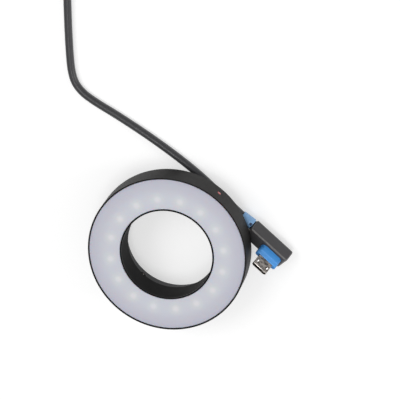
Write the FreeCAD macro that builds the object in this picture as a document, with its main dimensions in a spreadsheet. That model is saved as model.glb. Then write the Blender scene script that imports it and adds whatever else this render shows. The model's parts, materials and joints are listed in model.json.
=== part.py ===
import FreeCAD, Part
import math
import os
import re

import Sketcher

# Macro ring light that lies on its rear collar, with its unplugged lead beside it.
# Millimetres and degrees. The origin is on the optical axis at the collar's rear face,
# +Z runs along the axis to the light's face, and everything rests on Z = 0.

Vector = FreeCAD.Vector

SIZES = {
    # Housing and rear cover
    "flange_radius": 32.5,
    "flange_depth": 12.0,
    "lip_wall": 0.55,
    "shell_wall": 2.0,
    "rim_wall": 1.2,
    "rim_fillet": 0.5,
    "cover_thick": 1.6,
    "cover_gap": 0.1,
    "boss_inset": 1.9,
    "boss_radius": 2.2,
    "boss_count": 4,
    "dot_turn": 51.9,
    "dot_height": 13.8,
    "dot_radius": 0.65,
    "dot_depth": 0.4,
    # Sleeve, collar and the bore for the barrel
    "stop_ledge": 2.35,
    "sleeve_wall": 1.3,
    "sleeve_lip": 0.6,
    "sleeve_drop": 0.1,
    "foot_lug": 1.75,
    "foot_thick": 1.0,
    "barrel_radius": 21.0,
    "collar_wall": 4.5,
    "collar_depth": 8.5,
    "collar_chamfer": 0.5,
    # Light
    "diffuser_thick": 2.0,
    "diffuser_recess": 0.25,
    "diffuser_gap": 0.05,
    "diffuser_round": 0.3,
    "board_rise": 4.4,
    "board_thick": 1.2,
    "board_gap": 0.3,
    "led_inset": 3.48,
    "led_count": 16,
    "led_turn": 9.1,
    "led_width": 2.8,
    "led_length": 3.5,
    "led_thick": 0.7,
    "led_gap": 0.4,
    "well_radius": 1.12,
    "well_depth": 0.25,
    "tray_margin": 1.57,
    "tray_wall": 0.6,
    "tray_gap": 0.1,
    # Fixed screws
    "screw_radius": 0.95,
    "screw_gap": 0.05,
    "head_radius": 1.6,
    "head_thick": 0.9,
    "head_gap": 0.2,
    "slot_width": 0.4,
    "slot_depth": 0.45,
    "slot_reach": 1.05,
    "cover_bite": 2.5,
    "board_bite": 1.0,
    "collar_bite": 2.6,
    "collar_screw_count": 4,
    "collar_screw_turn": 65.0,
    # Parts under the board
    "chip_wide": 4.0,
    "chip_long": 5.0,
    "chip_thick": 1.5,
    "choke_wide": 3.6,
    "choke_long": 3.6,
    "choke_thick": 1.7,
    "capacitor_wide": 1.2,
    "capacitor_long": 2.0,
    "capacitor_thick": 1.0,
    "resistor_wide": 0.8,
    "resistor_long": 1.6,
    "resistor_thick": 0.5,
    # Clamp screws
    "clamp_count": 3,
    "clamp_turn": 110.0,
    "clamp_thread": 1.5,
    "clamp_gap": 0.05,
    "clamp_travel": 2.0,
    "clamp_rest": 0.1,
    "knob_radius": 2.9,
    "knob_length": 2.6,
    "knob_gap": 0.3,
    "knob_flutes": 18,
    "knob_flute_depth": 0.3,
    "dish_radius": 1.6,
    "dish_depth": 0.5,
    "tip_radius": 1.4,
    "tip_length": 1.4,
    "tip_spigot": 0.55,
    # Power socket on the hidden side of the rim
    "socket_turn": 261.6,
    "socket_width": 7.5,
    "socket_tall": 2.6,
    "socket_long": 5.6,
    "socket_sheet": 0.3,
    "socket_recess": 0.9,
    "socket_window_gap": 0.3,
    "tongue_width": 3.6,
    "tongue_thick": 0.6,
    "tongue_long": 3.4,
    "tongue_root": 1.4,
    "contact_count": 5,
    "contact_pitch": 0.65,
    "contact_width": 0.3,
    "contact_thick": 0.12,
    "contact_short": 0.35,
    # Right-angle plug, in its own frame: X along the grip, Z the way it goes in
    "grip_long": 19.5,
    "grip_tall": 8.14,
    "grip_thick": 5.87,
    "grip_round": 1.0,
    "base_long": 10.2,
    "base_tall": 4.8,
    "base_proud": 4.05,
    "base_round": 0.6,
    "base_shift": 3.25,
    "plug_width": 6.85,
    "plug_tall": 1.8,
    "plug_corner": 0.7,
    "plug_sheet": 0.25,
    "plug_long": 4.95,
    "plug_root": 2.0,
    "plug_gap": 0.05,
    "insert_recess": 0.9,
    "insert_gap": 0.03,
    "mouth_width": 3.7,
    "mouth_tall": 0.72,
    "mouth_long": 4.3,
    "mouth_drop": 0.15,
    "latch_spread": 2.45,
    "latch_width": 0.6,
    "latch_thick": 0.22,
    "latch_gap": 0.12,
    "latch_long": 5.2,
    "latch_hook": 1.1,
    "latch_ramp": 0.22,
    "latch_crest": 0.22,
    "latch_proud": 0.35,
    "latch_drop": 0.5,
    "relief_long": 6.0,
    "relief_wide": 2.5,
    "relief_thin": 1.95,
    "relief_ease": 0.4,
    "relief_up": 1.36,
    "relief_back": 0.9,
    "dimple_radius": 0.45,
    "dimple_depth": 0.35,
    "dimple_place": 1.9,
    # Cord and coil
    "cord_radius": 1.6,
    "cord_exit": 8.5,
    "coil_radius": 24.9,
    "coil_pitch": 3.7,
    "coil_rise": 3.65,
    "coil_lift": 0.65,
    "tie_thick": 0.6,
    "tie_width": 4.0,
    "tie_gap": 0.35,
    # Plug at the far end
    "usb_grip_long": 26.0,
    "usb_grip_wide": 15.6,
    "usb_grip_tall": 7.8,
    "usb_grip_round": 1.4,
    "usb_shell_wide": 12.0,
    "usb_shell_tall": 4.5,
    "usb_shell_long": 12.0,
    "usb_sheet": 0.3,
    "usb_window": 2.2,
    "usb_window_place": 5.2,
    "usb_window_spread": 2.75,
    "usb_tongue_thick": 1.9,
    "usb_tongue_short": 0.8,
    "usb_contact_width": 1.2,
    "usb_contact_pitch": 2.2,
    "usb_contact_count": 4,
    "usb_contact_short": 2.4,
    "usb_relief_long": 9.0,
    "usb_relief_wide": 3.2,
    "usb_relief_thin": 2.1,
    "usb_relief_rings": 3,
    "usb_ring_depth": 0.4,
}

# Pose of the right-angle plug as it lies: its grip's middle, its heading and its roll
PLUG_MIDDLE = Vector(38.43, 1.86, 4.37)
PLUG_HEADING = -41.0
PLUG_ROLL = 33.6

# Corners of the cord's route after its straight exit from the relief, up to the coil's entry
RUN_POINTS = [
    (9.4, 29.1, 2.2),
    (-7.6, 40.9, 1.65),
    (-23.6, 50.7, 1.65),
    (-33.0, 55.8, 1.65),
    (-39.3, 60.0, 1.65),
    (-42.9, 65.6, 1.65),
    (-43.9, 77.0, 1.65),
    (-44.4, 98.0, 1.65),
    (-44.1, 116.0, 2.25),
]
COIL_ENTRY = (-44.1, 132.0)
COIL_TURNS_IN = 3.5
COIL_CLIMB = 0.5
COIL_TURNS_OUT = 3.25

# Corners of the cord's tail from the coil's end to the far plug, as steps from that end
TAIL_STEPS = [(6.5, 0.0, 0.0), (15.4, -1.2, -1.0), (24.0, -3.4, -2.0), (30.3, -5.2, -2.0)]

# One groove of the far relief: shares of a ring's length, and where its wall dips
RING_PROFILE = [(0.4, 0), (0.45, 1), (0.75, 1), (0.8, 0)]

# Parts under the board: their kind and their angle on the ring
DRIVER_PARTS = [
    ("chip", 222.0),
    ("choke", 240.0),
    ("capacitor", 175.0),
    ("capacitor", 163.0),
    ("resistor", 45.0),
    ("resistor", 55.0),
    ("resistor", 133.0),
    ("resistor", 312.0),
]

# Where the sketch solver starts from: a ring of corners away from the sketch's origin
START_PLACE = 50.0
START_SPREAD = 20.0

doc = FreeCAD.newDocument("MacroRingLight")
sheet = doc.addObject("Spreadsheet::Sheet", "Dims")
for row, (alias, value) in enumerate(SIZES.items(), start=1):
    sheet.set(f"A{row}", alias)
    sheet.set(f"B{row}", str(value))
    sheet.setAlias(f"B{row}", alias)
doc.recompute()

NODES = {}


def size(alias):
    """The number that the sheet holds under this name."""
    return float(sheet.get(alias))


def linked(words):
    """The same expression with each size's name pointing into the sheet."""
    return re.sub(r"\b[a-z]+(?:_[a-z]+)+\b", lambda found: "Dims." + found.group(0), words)


def bind(thing, place, words):
    """Drive one property of an object from the sheet."""
    thing.setExpression(place, linked(words))


def new_body(label):
    """An empty body that becomes the node of this name."""
    body = doc.addObject("PartDesign::Body", label)
    body.Label = label
    body.AllowCompound = True
    NODES[label] = body
    return body


def new_sketch(body, name, role="XY_Plane", lift="0", turn="0"):
    """A sketch on one of the body's own planes, lifted along and turned about the plane's axes."""
    plane = [item for item in body.Origin.OriginFeatures if item.Role == role][0]
    sketch = body.newObject("Sketcher::SketchObject", name)
    sketch.AttachmentSupport = [(plane, "")]
    sketch.MapMode = "FlatFace"
    if role == "XY_Plane":
        bind(sketch, "AttachmentOffset.Base.z", lift)
    else:
        sketch.AttachmentOffset = FreeCAD.Placement(Vector(), FreeCAD.Rotation(Vector(0, 1, 0), 1))
        bind(sketch, "AttachmentOffset.Base.x", f"({lift}) * sin({turn})")
        bind(sketch, "AttachmentOffset.Base.z", f"({lift}) * cos({turn})")
    bind(sketch, "AttachmentOffset.Rotation.Angle", turn)
    return sketch


def place_point(sketch, geometry, point, across, up):
    """Tie one point of the sketch to its distances from the sketch's origin."""
    for kind, words in (("DistanceX", across), ("DistanceY", up)):
        number = sketch.addConstraint(Sketcher.Constraint(kind, -1, 1, geometry, point, 1.0))
        bind(sketch, f"Constraints[{number}]", words)


def add_outline(sketch, corners):
    """A closed outline of straight lines through corners given as pairs of expressions."""
    count = len(corners)
    first = sketch.GeometryCount
    start = [Vector(START_PLACE + START_SPREAD * math.cos(math.tau * i / count),
                    START_SPREAD * math.sin(math.tau * i / count), 0) for i in range(count)]
    for i in range(count):
        sketch.addGeometry(Part.LineSegment(start[i], start[(i + 1) % count]), False)
    for i in range(count):
        sketch.addConstraint(Sketcher.Constraint("Coincident", first + i, 2, first + (i + 1) % count, 1))
    for i, (across, up) in enumerate(corners):
        place_point(sketch, first + i, 1, across, up)


def add_rectangle(sketch, across, up, width, height):
    """A rectangle by its middle and its two sides, all expressions."""
    left, right = f"({across}) - ({width}) / 2", f"({across}) + ({width}) / 2"
    low, high = f"({up}) - ({height}) / 2", f"({up}) + ({height}) / 2"
    add_outline(sketch, [(left, low), (right, low), (right, high), (left, high)])


def add_circle(sketch, across, up, radius):
    """A circle by its middle and radius, all expressions."""
    number = sketch.GeometryCount
    sketch.addGeometry(Part.Circle(Vector(START_SPREAD, 0, 0), Vector(0, 0, 1), 1), False)
    place_point(sketch, number, 3, across, up)
    ring = sketch.addConstraint(Sketcher.Constraint("Radius", number, 1.0))
    bind(sketch, f"Constraints[{ring}]", radius)


def turned(body, name, corners):
    """Revolve an outline of (radius, height) corners about the body's Z axis."""
    sketch = new_sketch(body, name + "_outline", "XZ_Plane")
    add_outline(sketch, corners)
    feature = body.newObject("PartDesign::Revolution", name)
    feature.Profile = sketch
    feature.ReferenceAxis = (sketch, ["V_Axis"])
    feature.Angle = 360
    doc.recompute()
    return feature


def raised(body, name, sketch, length, both=False, back=False):
    """Pad a sketch along its plane's normal."""
    feature = body.newObject("PartDesign::Pad", name)
    feature.Profile = sketch
    bind(feature, "Length", length)
    feature.Midplane = both
    feature.Reversed = back
    doc.recompute()
    return feature


def sunk(body, name, sketch, length, forward=False):
    """Pocket a sketch against its plane's normal, or along it, and check that it cut."""
    before = body.Shape.Volume
    feature = body.newObject("PartDesign::Pocket", name)
    feature.Profile = sketch
    bind(feature, "Length", length)
    feature.Reversed = forward
    doc.recompute()
    if body.Shape.Volume >= before - 1e-6:
        raise RuntimeError(f"{name} cuts nothing")
    return feature


def repeated(body, name, feature, sketch, count):
    """Repeat a feature all round the sketch's normal."""
    pattern = body.newObject("PartDesign::PolarPattern", name)
    pattern.Originals = [feature]
    pattern.Axis = (sketch, ["N_Axis"])
    pattern.Angle = 360
    bind(pattern, "Occurrences", count)
    body.Tip = pattern
    doc.recompute()
    return pattern


def edge_names(shape, wanted):
    """Names of the edges that the wanted function picks."""
    return [f"Edge{i}" for i, edge in enumerate(shape.Edges, start=1) if wanted(edge)]


def at_height(edge, height):
    """Whether an edge lies flat at this height."""
    return abs(edge.BoundBox.ZMin - height) < 1e-4 and abs(edge.BoundBox.ZMax - height) < 1e-4


def is_ring(edge, radius, height):
    """Whether an edge is the full circle of this radius about Z at this height."""
    if not isinstance(edge.Curve, Part.Circle) or not at_height(edge, height):
        return False
    return abs(edge.Curve.Radius - radius) < 1e-4 and edge.Length > 6.2 * radius


def eased(body, name, kind, wanted, amount):
    """Fillet or chamfer the edges that the wanted function picks."""
    base = body.Tip
    names = edge_names(base.Shape, wanted)
    if not names:
        raise RuntimeError(f"{name} finds no edge")
    feature = body.newObject("PartDesign::" + kind, name)
    feature.Base = (base, names)
    bind(feature, "Radius" if kind == "Fillet" else "Size", amount)
    doc.recompute()
    return feature


# Heights that the ring's pieces share, as expressions
COVER_TOP = "collar_depth + cover_thick"
FRONT = "collar_depth + flange_depth"
SEAT = FRONT + " - diffuser_recess - diffuser_thick"
BOARD_LOW = COVER_TOP + " + board_rise"
BOARD_TOP = BOARD_LOW + " + board_thick"
HOLE = "(barrel_radius - stop_ledge)"
SLEEVE_OUTER = HOLE + " + sleeve_wall"
COVER_OUTER = "flange_radius - rim_wall - cover_gap"
HEAD_HOLE = "screw_radius + screw_gap"
BOSS_CIRCLE = "(flange_radius - shell_wall - boss_inset)"
BOSS_TURN = "(led_turn + 180 / led_count)"
LED_CIRCLE = "(" + SLEEVE_OUTER + " + led_inset)"
TRAY_FLOOR = LED_CIRCLE + " + led_width / 2 + tray_margin"
DRIVER_CIRCLE = "(" + SLEEVE_OUTER + " + flange_radius - shell_wall) / 2"
COLLAR_OUTER = "barrel_radius + collar_wall"
COLLAR_CIRCLE = "(barrel_radius + collar_wall / 2)"


def make_housing():
    """Outer shell: a turned wall with a front lip, four screw posts and the socket's window."""
    body = new_body("housing")
    turned(body, "wall", [
        ("flange_radius", "collar_depth"),
        ("flange_radius", FRONT),
        ("flange_radius - lip_wall", FRONT),
        ("flange_radius - lip_wall", SEAT),
        ("flange_radius - shell_wall", SEAT),
        ("flange_radius - shell_wall", COVER_TOP),
        ("flange_radius - rim_wall", COVER_TOP),
        ("flange_radius - rim_wall", "collar_depth"),
    ])
    post = new_sketch(body, "post_place", lift=COVER_TOP, turn=BOSS_TURN)
    add_circle(post, BOSS_CIRCLE, "0", "boss_radius")
    posts = raised(body, "post", post, "board_rise")
    repeated(body, "posts", posts, post, "boss_count")
    hole = new_sketch(body, "thread_place", lift=BOARD_LOW, turn=BOSS_TURN)
    add_circle(hole, BOSS_CIRCLE, "0", HEAD_HOLE)
    thread = sunk(body, "thread", hole, "board_rise")
    repeated(body, "threads", thread, hole, "boss_count")
    window = new_sketch(body, "window_place", "XZ_Plane", HOLE, "socket_turn + 90")
    add_rectangle(window, "0", BOARD_LOW + " - socket_tall / 2", "socket_width + 2 * socket_window_gap",
                  "socket_tall + 2 * socket_window_gap")
    sunk(body, "window", window, "flange_radius", forward=True)
    dot = new_sketch(body, "dot_place", "XZ_Plane", "flange_radius - dot_depth", "dot_turn + 90")
    add_circle(dot, "0", "dot_height", "dot_radius")
    sunk(body, "dot_recess", dot, "2 * dot_depth", forward=True)
    low = size("collar_depth")
    radius = size("flange_radius")
    eased(body, "rear_round", "Fillet", lambda edge: is_ring(edge, radius, low), "rim_fillet")


def make_index_dot():
    """Red dot let into the rim, its face turned to the rim's own curve."""
    peg = doc.addObject("Part::Cylinder", "dot_peg")
    bind(peg, "Radius", "dot_radius")
    bind(peg, "Height", "2 * dot_depth")
    angle = math.radians(size("dot_turn"))
    outward = Vector(math.cos(angle), math.sin(angle), 0)
    peg.Placement.Rotation = FreeCAD.Rotation(Vector(0, 0, 1), outward)
    bind(peg, "Placement.Base.x", "(flange_radius - dot_depth) * cos(dot_turn)")
    bind(peg, "Placement.Base.y", "(flange_radius - dot_depth) * sin(dot_turn)")
    bind(peg, "Placement.Base.z", "dot_height")
    rim = doc.addObject("Part::Cylinder", "dot_rim")
    bind(rim, "Radius", "flange_radius")
    bind(rim, "Height", FRONT)
    dot = doc.addObject("Part::Common", "index_dot")
    dot.Base = peg
    dot.Tool = rim
    dot.Label = "index_dot"
    NODES["index_dot"] = dot


def make_rear_cover():
    """Annular plate, countersunk for its own screws and drilled for the collar's."""
    body = new_body("rear_cover")
    turned(body, "plate", [
        (SLEEVE_OUTER + " + cover_gap", "collar_depth"),
        (COVER_OUTER, "collar_depth"),
        (COVER_OUTER, COVER_TOP),
        (SLEEVE_OUTER + " + cover_gap", COVER_TOP),
    ])
    hole = new_sketch(body, "hole_place", lift=COVER_TOP, turn=BOSS_TURN)
    add_circle(hole, BOSS_CIRCLE, "0", HEAD_HOLE)
    drilled = sunk(body, "hole", hole, "cover_thick")
    repeated(body, "holes", drilled, hole, "boss_count")
    head = new_sketch(body, "head_place", lift="collar_depth", turn=BOSS_TURN)
    add_circle(head, BOSS_CIRCLE, "0", "head_radius + head_gap")
    seat = sunk(body, "head_seat", head, "head_thick", forward=True)
    repeated(body, "head_seats", seat, head, "boss_count")
    bolt = new_sketch(body, "bolt_place", lift=COVER_TOP, turn="collar_screw_turn")
    add_circle(bolt, COLLAR_CIRCLE, "0", HEAD_HOLE)
    bolts = sunk(body, "bolt_hole", bolt, "cover_thick")
    repeated(body, "bolt_holes", bolts, bolt, "collar_screw_count")


def make_inner_sleeve():
    """Tube that lines the hole, with a thin front lip and a screwed lug for each collar screw."""
    body = new_body("inner_sleeve")
    turned(body, "tube", [
        (HOLE, "collar_depth"),
        (SLEEVE_OUTER, "collar_depth"),
        (SLEEVE_OUTER, SEAT),
        (HOLE + " + sleeve_lip", SEAT),
        (HOLE + " + sleeve_lip", FRONT + " - sleeve_drop"),
        (HOLE, FRONT + " - sleeve_drop"),
    ])
    arm = new_sketch(body, "arm_place", lift=COVER_TOP, turn="collar_screw_turn")
    root = f"({HOLE} + sleeve_wall / 2)"
    add_rectangle(arm, f"({root} + {COLLAR_CIRCLE}) / 2", "0", f"{COLLAR_CIRCLE} - {root}", "2 * foot_lug")
    repeated(body, "arms", raised(body, "arm", arm, "foot_thick"), arm, "collar_screw_count")
    lug = new_sketch(body, "lug_place", lift=COVER_TOP, turn="collar_screw_turn")
    add_circle(lug, COLLAR_CIRCLE, "0", "foot_lug")
    repeated(body, "lugs", raised(body, "lug", lug, "foot_thick"), lug, "collar_screw_count")
    bolt = new_sketch(body, "bolt_place", lift=COVER_TOP + " + foot_thick", turn="collar_screw_turn")
    add_circle(bolt, COLLAR_CIRCLE, "0", HEAD_HOLE)
    bolts = sunk(body, "bolt_hole", bolt, "foot_thick")
    repeated(body, "bolt_holes", bolts, bolt, "collar_screw_count")


def make_diffuser():
    """Milky ring that drops between the two lips, its front edges softened."""
    body = new_body("diffuser")
    inner, outer = HOLE + " + sleeve_lip + diffuser_gap", "flange_radius - lip_wall - diffuser_gap"
    top = SEAT + " + diffuser_thick"
    turned(body, "ring", [(inner, SEAT), (outer, SEAT), (outer, top), (inner, top)])
    height = size("collar_depth") + size("flange_depth") - size("diffuser_recess")
    eased(body, "front_round", "Fillet", lambda edge: at_height(edge, height), "diffuser_round")


def make_reflector():
    """White tray on the board, with a window for each emitter and a bay for each screw."""
    body = new_body("reflector")
    inner = SLEEVE_OUTER + " + tray_gap"
    outer = "flange_radius - shell_wall - tray_gap"
    top = SEAT + " - tray_gap"
    floor = BOARD_TOP + " + tray_wall"
    turned(body, "tray", [
        (inner, BOARD_TOP),
        (TRAY_FLOOR, BOARD_TOP),
        (outer, top),
        (outer + " - tray_wall", top),
        (TRAY_FLOOR + " - tray_wall / 2", floor),
        (inner + " + tray_wall", floor),
        (inner + " + tray_wall", top),
        (inner, top),
    ])
    window = new_sketch(body, "window_place", lift=floor, turn="led_turn")
    add_rectangle(window, LED_CIRCLE, "0", "led_width + led_gap", "led_length + led_gap")
    cut = sunk(body, "window", window, "tray_wall")
    repeated(body, "windows", cut, window, "led_count")
    notch = new_sketch(body, "notch_place", lift=BOARD_TOP, turn=BOSS_TURN)
    add_circle(notch, BOSS_CIRCLE, "0", "boss_inset + tray_gap")
    notched = sunk(body, "notch", notch, f"{top} - ({BOARD_TOP})", forward=True)
    repeated(body, "notches", notched, notch, "boss_count")


def make_led_board():
    """Ring-shaped board on the screw posts."""
    body = new_body("led_board")
    inner, outer = SLEEVE_OUTER + " + board_gap", "flange_radius - shell_wall - board_gap"
    turned(body, "board", [(inner, BOARD_LOW), (outer, BOARD_LOW), (outer, BOARD_TOP), (inner, BOARD_TOP)])
    hole = new_sketch(body, "hole_place", lift=BOARD_TOP, turn=BOSS_TURN)
    add_circle(hole, BOSS_CIRCLE, "0", HEAD_HOLE)
    drilled = sunk(body, "hole", hole, "board_thick")
    repeated(body, "holes", drilled, hole, "boss_count")


def make_leds():
    """Sixteen emitters, each a block with a round recess for its phosphor."""
    body = new_body("leds")
    block = new_sketch(body, "block_place", lift=BOARD_TOP, turn="led_turn")
    add_rectangle(block, LED_CIRCLE, "0", "led_width", "led_length")
    blocks = raised(body, "block", block, "led_thick")
    repeated(body, "blocks", blocks, block, "led_count")
    well = new_sketch(body, "well_place", lift=BOARD_TOP + " + led_thick", turn="led_turn")
    add_circle(well, LED_CIRCLE, "0", "well_radius")
    wells = sunk(body, "well", well, "well_depth")
    repeated(body, "wells", wells, well, "led_count")


def make_driver_parts():
    """Driver chip, coil and resistors under the board, each in from the board's two edges."""
    body = new_body("driver_parts")
    for number, (kind, angle) in enumerate(DRIVER_PARTS, start=1):
        place = new_sketch(body, f"{kind}_place_{number}", lift=BOARD_LOW, turn=str(angle))
        add_rectangle(place, DRIVER_CIRCLE, "0", kind + "_wide", kind + "_long")
        raised(body, f"{kind}_{number}", place, kind + "_thick", back=True)


def screw_group(label, circle, turn, count, head_at, shank, head_below=False):
    """Like screws in a circle: a pan head with a cross slot, and a shank below it."""
    body = new_body(label)
    head = new_sketch(body, "head_place", lift=head_at, turn=turn)
    add_circle(head, circle, "0", "head_radius")
    heads = raised(body, "head", head, "head_thick", back=head_below)
    repeated(body, "heads", heads, head, count)
    stem = new_sketch(body, "stem_place", lift=head_at, turn=turn)
    add_circle(stem, circle, "0", "screw_radius")
    stems = raised(body, "stem", stem, shank, back=not head_below)
    repeated(body, "stems", stems, stem, count)
    sign = " - " if head_below else " + "
    slot = new_sketch(body, "slot_place", lift=head_at + sign + "head_thick", turn=turn)
    arm, half = "slot_reach", "slot_width / 2"
    add_outline(slot, [
        (f"{circle} + {half}", half), (f"{circle} + {half}", arm), (f"{circle} - {half}", arm),
        (f"{circle} - {half}", half), (f"{circle} - {arm}", half), (f"{circle} - {arm}", f"-{half}"),
        (f"{circle} - {half}", f"-{half}"), (f"{circle} - {half}", f"-{arm}"),
        (f"{circle} + {half}", f"-{arm}"), (f"{circle} + {half}", f"-{half}"),
        (f"{circle} + {arm}", f"-{half}"), (f"{circle} + {arm}", half),
    ])
    slots = sunk(body, "slot", slot, "slot_depth", forward=head_below)
    repeated(body, "slots", slots, slot, count)


def make_fixed_screws():
    """The cover's, the board's and the collar's screws."""
    screw_group("cover_screws", BOSS_CIRCLE, BOSS_TURN, "boss_count",
                "collar_depth + head_thick", "cover_thick - head_thick + cover_bite", head_below=True)
    screw_group("board_screws", BOSS_CIRCLE, BOSS_TURN, "boss_count",
                BOARD_TOP, "board_thick + board_bite")
    screw_group("collar_screws", COLLAR_CIRCLE, "collar_screw_turn", "collar_screw_count",
                COVER_TOP + " + foot_thick", "foot_thick + cover_thick + collar_bite")


def make_mounting_collar():
    """Collar for the barrel, tapped on its side for the clamp screws and on top for its own."""
    body = new_body("mounting_collar")
    turned(body, "ring", [
        ("barrel_radius", "0"), (COLLAR_OUTER, "0"),
        (COLLAR_OUTER, "collar_depth"), ("barrel_radius", "collar_depth"),
    ])
    side = new_sketch(body, "side_place", "XZ_Plane", "0", "clamp_turn + 90")
    add_circle(side, "0", "collar_depth / 2", "clamp_thread + clamp_gap")
    tapped = sunk(body, "side_hole", side, "2 * barrel_radius", forward=True)
    upright = new_sketch(body, "upright")
    repeated(body, "side_holes", tapped, upright, "clamp_count")
    bolt = new_sketch(body, "bolt_place", lift="collar_depth", turn="collar_screw_turn")
    add_circle(bolt, COLLAR_CIRCLE, "0", HEAD_HOLE)
    bolts = sunk(body, "bolt_hole", bolt, "collar_bite + screw_gap")
    repeated(body, "bolt_holes", bolts, bolt, "collar_screw_count")
    outer = size("barrel_radius") + size("collar_wall")
    eased(body, "rear_edge", "Chamfer", lambda edge: is_ring(edge, outer, 0), "collar_chamfer")


def radial_placement(index):
    """Turn a piece made along Z to lie along one clamp screw's radius."""
    angle = size("clamp_turn") + 360 / size("clamp_count") * index
    rotation = FreeCAD.Rotation(Vector(0, 0, 1), angle) * FreeCAD.Rotation(Vector(0, 1, 0), 90)
    return FreeCAD.Placement(Vector(0, 0, size("collar_depth") / 2), rotation)


def make_clamp_screw(index):
    """Thumb screw with a fluted knob and a spigot for its soft tip, along its own Z."""
    body = new_body(f"clamp_screw_{index + 1}")
    seat = "barrel_radius + clamp_rest + tip_length"
    knob = COLLAR_OUTER + " + clamp_travel + knob_gap"
    turned(body, "screw", [
        ("0", seat + " - tip_length / 2"),
        ("tip_spigot", seat + " - tip_length / 2"),
        ("tip_spigot", seat),
        ("clamp_thread", seat),
        ("clamp_thread", knob),
        ("knob_radius", knob),
        ("knob_radius", knob + " + knob_length"),
        ("dish_radius", knob + " + knob_length"),
        ("dish_radius - dish_depth", knob + " + knob_length - dish_depth"),
        ("0", knob + " + knob_length - dish_depth"),
    ])
    flute = new_sketch(body, "flute_place", lift=knob)
    add_outline(flute, [
        ("knob_radius - knob_flute_depth", "0"),
        ("knob_radius + knob_flute_depth", "2 * knob_flute_depth"),
        ("knob_radius + knob_flute_depth", "-2 * knob_flute_depth"),
    ])
    flutes = sunk(body, "flute", flute, "knob_length", forward=True)
    repeated(body, "flutes", flutes, flute, "knob_flutes")
    body.Placement = radial_placement(index)


def make_screw_tip(index):
    """Soft tip that turns on the screw's spigot and bears on the barrel."""
    body = new_body(f"screw_tip_{index + 1}")
    face = "barrel_radius + clamp_rest"
    turned(body, "tip", [
        ("0", face),
        ("tip_radius - tip_length / 4", face),
        ("tip_radius", face + " + tip_length / 4"),
        ("tip_radius", face + " + tip_length - clamp_gap"),
        ("tip_spigot + clamp_gap", face + " + tip_length - clamp_gap"),
        ("tip_spigot + clamp_gap", face + " + tip_length / 2 - clamp_gap"),
        ("0", face + " + tip_length / 2 - clamp_gap"),
    ])
    body.Placement = radial_placement(index)


def socket_placement():
    """Frame of the socket: X round the rim, Y up, Z out of its mouth."""
    angle = size("socket_turn")
    outward = FreeCAD.Rotation(Vector(0, 0, 1), angle + 90) * FreeCAD.Rotation(Vector(1, 0, 0), 90)
    reach = size("flange_radius") - size("socket_recess")
    middle = size("collar_depth") + size("cover_thick") + size("board_rise") - size("socket_tall") / 2
    place = Vector(reach * math.cos(math.radians(angle)), reach * math.sin(math.radians(angle)), middle)
    return FreeCAD.Placement(place, outward)


def make_socket():
    """Surface-mounted socket: folded shell, plastic tongue and five contact strips."""
    shell = new_body("socket_shell")
    outside = new_sketch(shell, "outside")
    add_rectangle(outside, "0", "0", "socket_width", "socket_tall")
    raised(shell, "block", outside, "socket_long", back=True)
    inside = new_sketch(shell, "inside")
    add_rectangle(inside, "0", "0", "socket_width - 2 * socket_sheet", "socket_tall - 2 * socket_sheet")
    sunk(shell, "hollow", inside, "socket_long - socket_sheet")
    tongue = new_body("socket_tongue")
    root = new_sketch(tongue, "root_place", lift="socket_sheet - socket_long")
    add_rectangle(root, "0", "0", "socket_width - 2 * socket_sheet - 2 * insert_gap",
                  "socket_tall - 2 * socket_sheet - 2 * insert_gap")
    raised(tongue, "root", root, "tongue_root")
    blade = new_sketch(tongue, "blade_place", lift="socket_sheet + tongue_root - socket_long")
    add_rectangle(blade, "0", "0", "tongue_width", "tongue_thick")
    raised(tongue, "blade", blade, "tongue_long")
    strips = new_body("socket_contacts")
    strip = new_sketch(strips, "strip_place", lift="socket_sheet + tongue_root - socket_long")
    for i in range(int(size("contact_count"))):
        add_rectangle(strip, f"({i} - (contact_count - 1) / 2) * contact_pitch",
                      "(tongue_thick + contact_thick) / 2", "contact_width", "contact_thick")
    raised(strips, "strip", strip, "tongue_long - contact_short")
    for body in (shell, tongue, strips):
        body.Placement = socket_placement()


def plug_placement():
    """Frame of the right-angle plug as it lies beside the ring."""
    rotation = FreeCAD.Rotation(Vector(0, 0, 1), PLUG_HEADING) * FreeCAD.Rotation(Vector(1, 0, 0), PLUG_ROLL)
    return FreeCAD.Placement(PLUG_MIDDLE, rotation)


BASE_FACE = "grip_thick / 2 + base_proud"
SHELL_BACK = BASE_FACE + " - plug_root"
HOOK_END = SHELL_BACK + " + latch_gap + latch_long"


def add_shell_outline(sketch, shrink):
    """The plug shell's outline: a rectangle with its two lower corners cut off."""
    half, low = f"plug_width / 2 - ({shrink})", f"plug_tall / 2 - ({shrink})"
    cut = "plug_corner"
    add_outline(sketch, [
        (f"base_shift - ({half}) + {cut}", f"-({low})"), (f"base_shift + ({half}) - {cut}", f"-({low})"),
        (f"base_shift + ({half})", f"-({low}) + {cut}"), (f"base_shift + ({half})", low),
        (f"base_shift - ({half})", low), (f"base_shift - ({half})", f"-({low}) + {cut}"),
    ])


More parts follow.
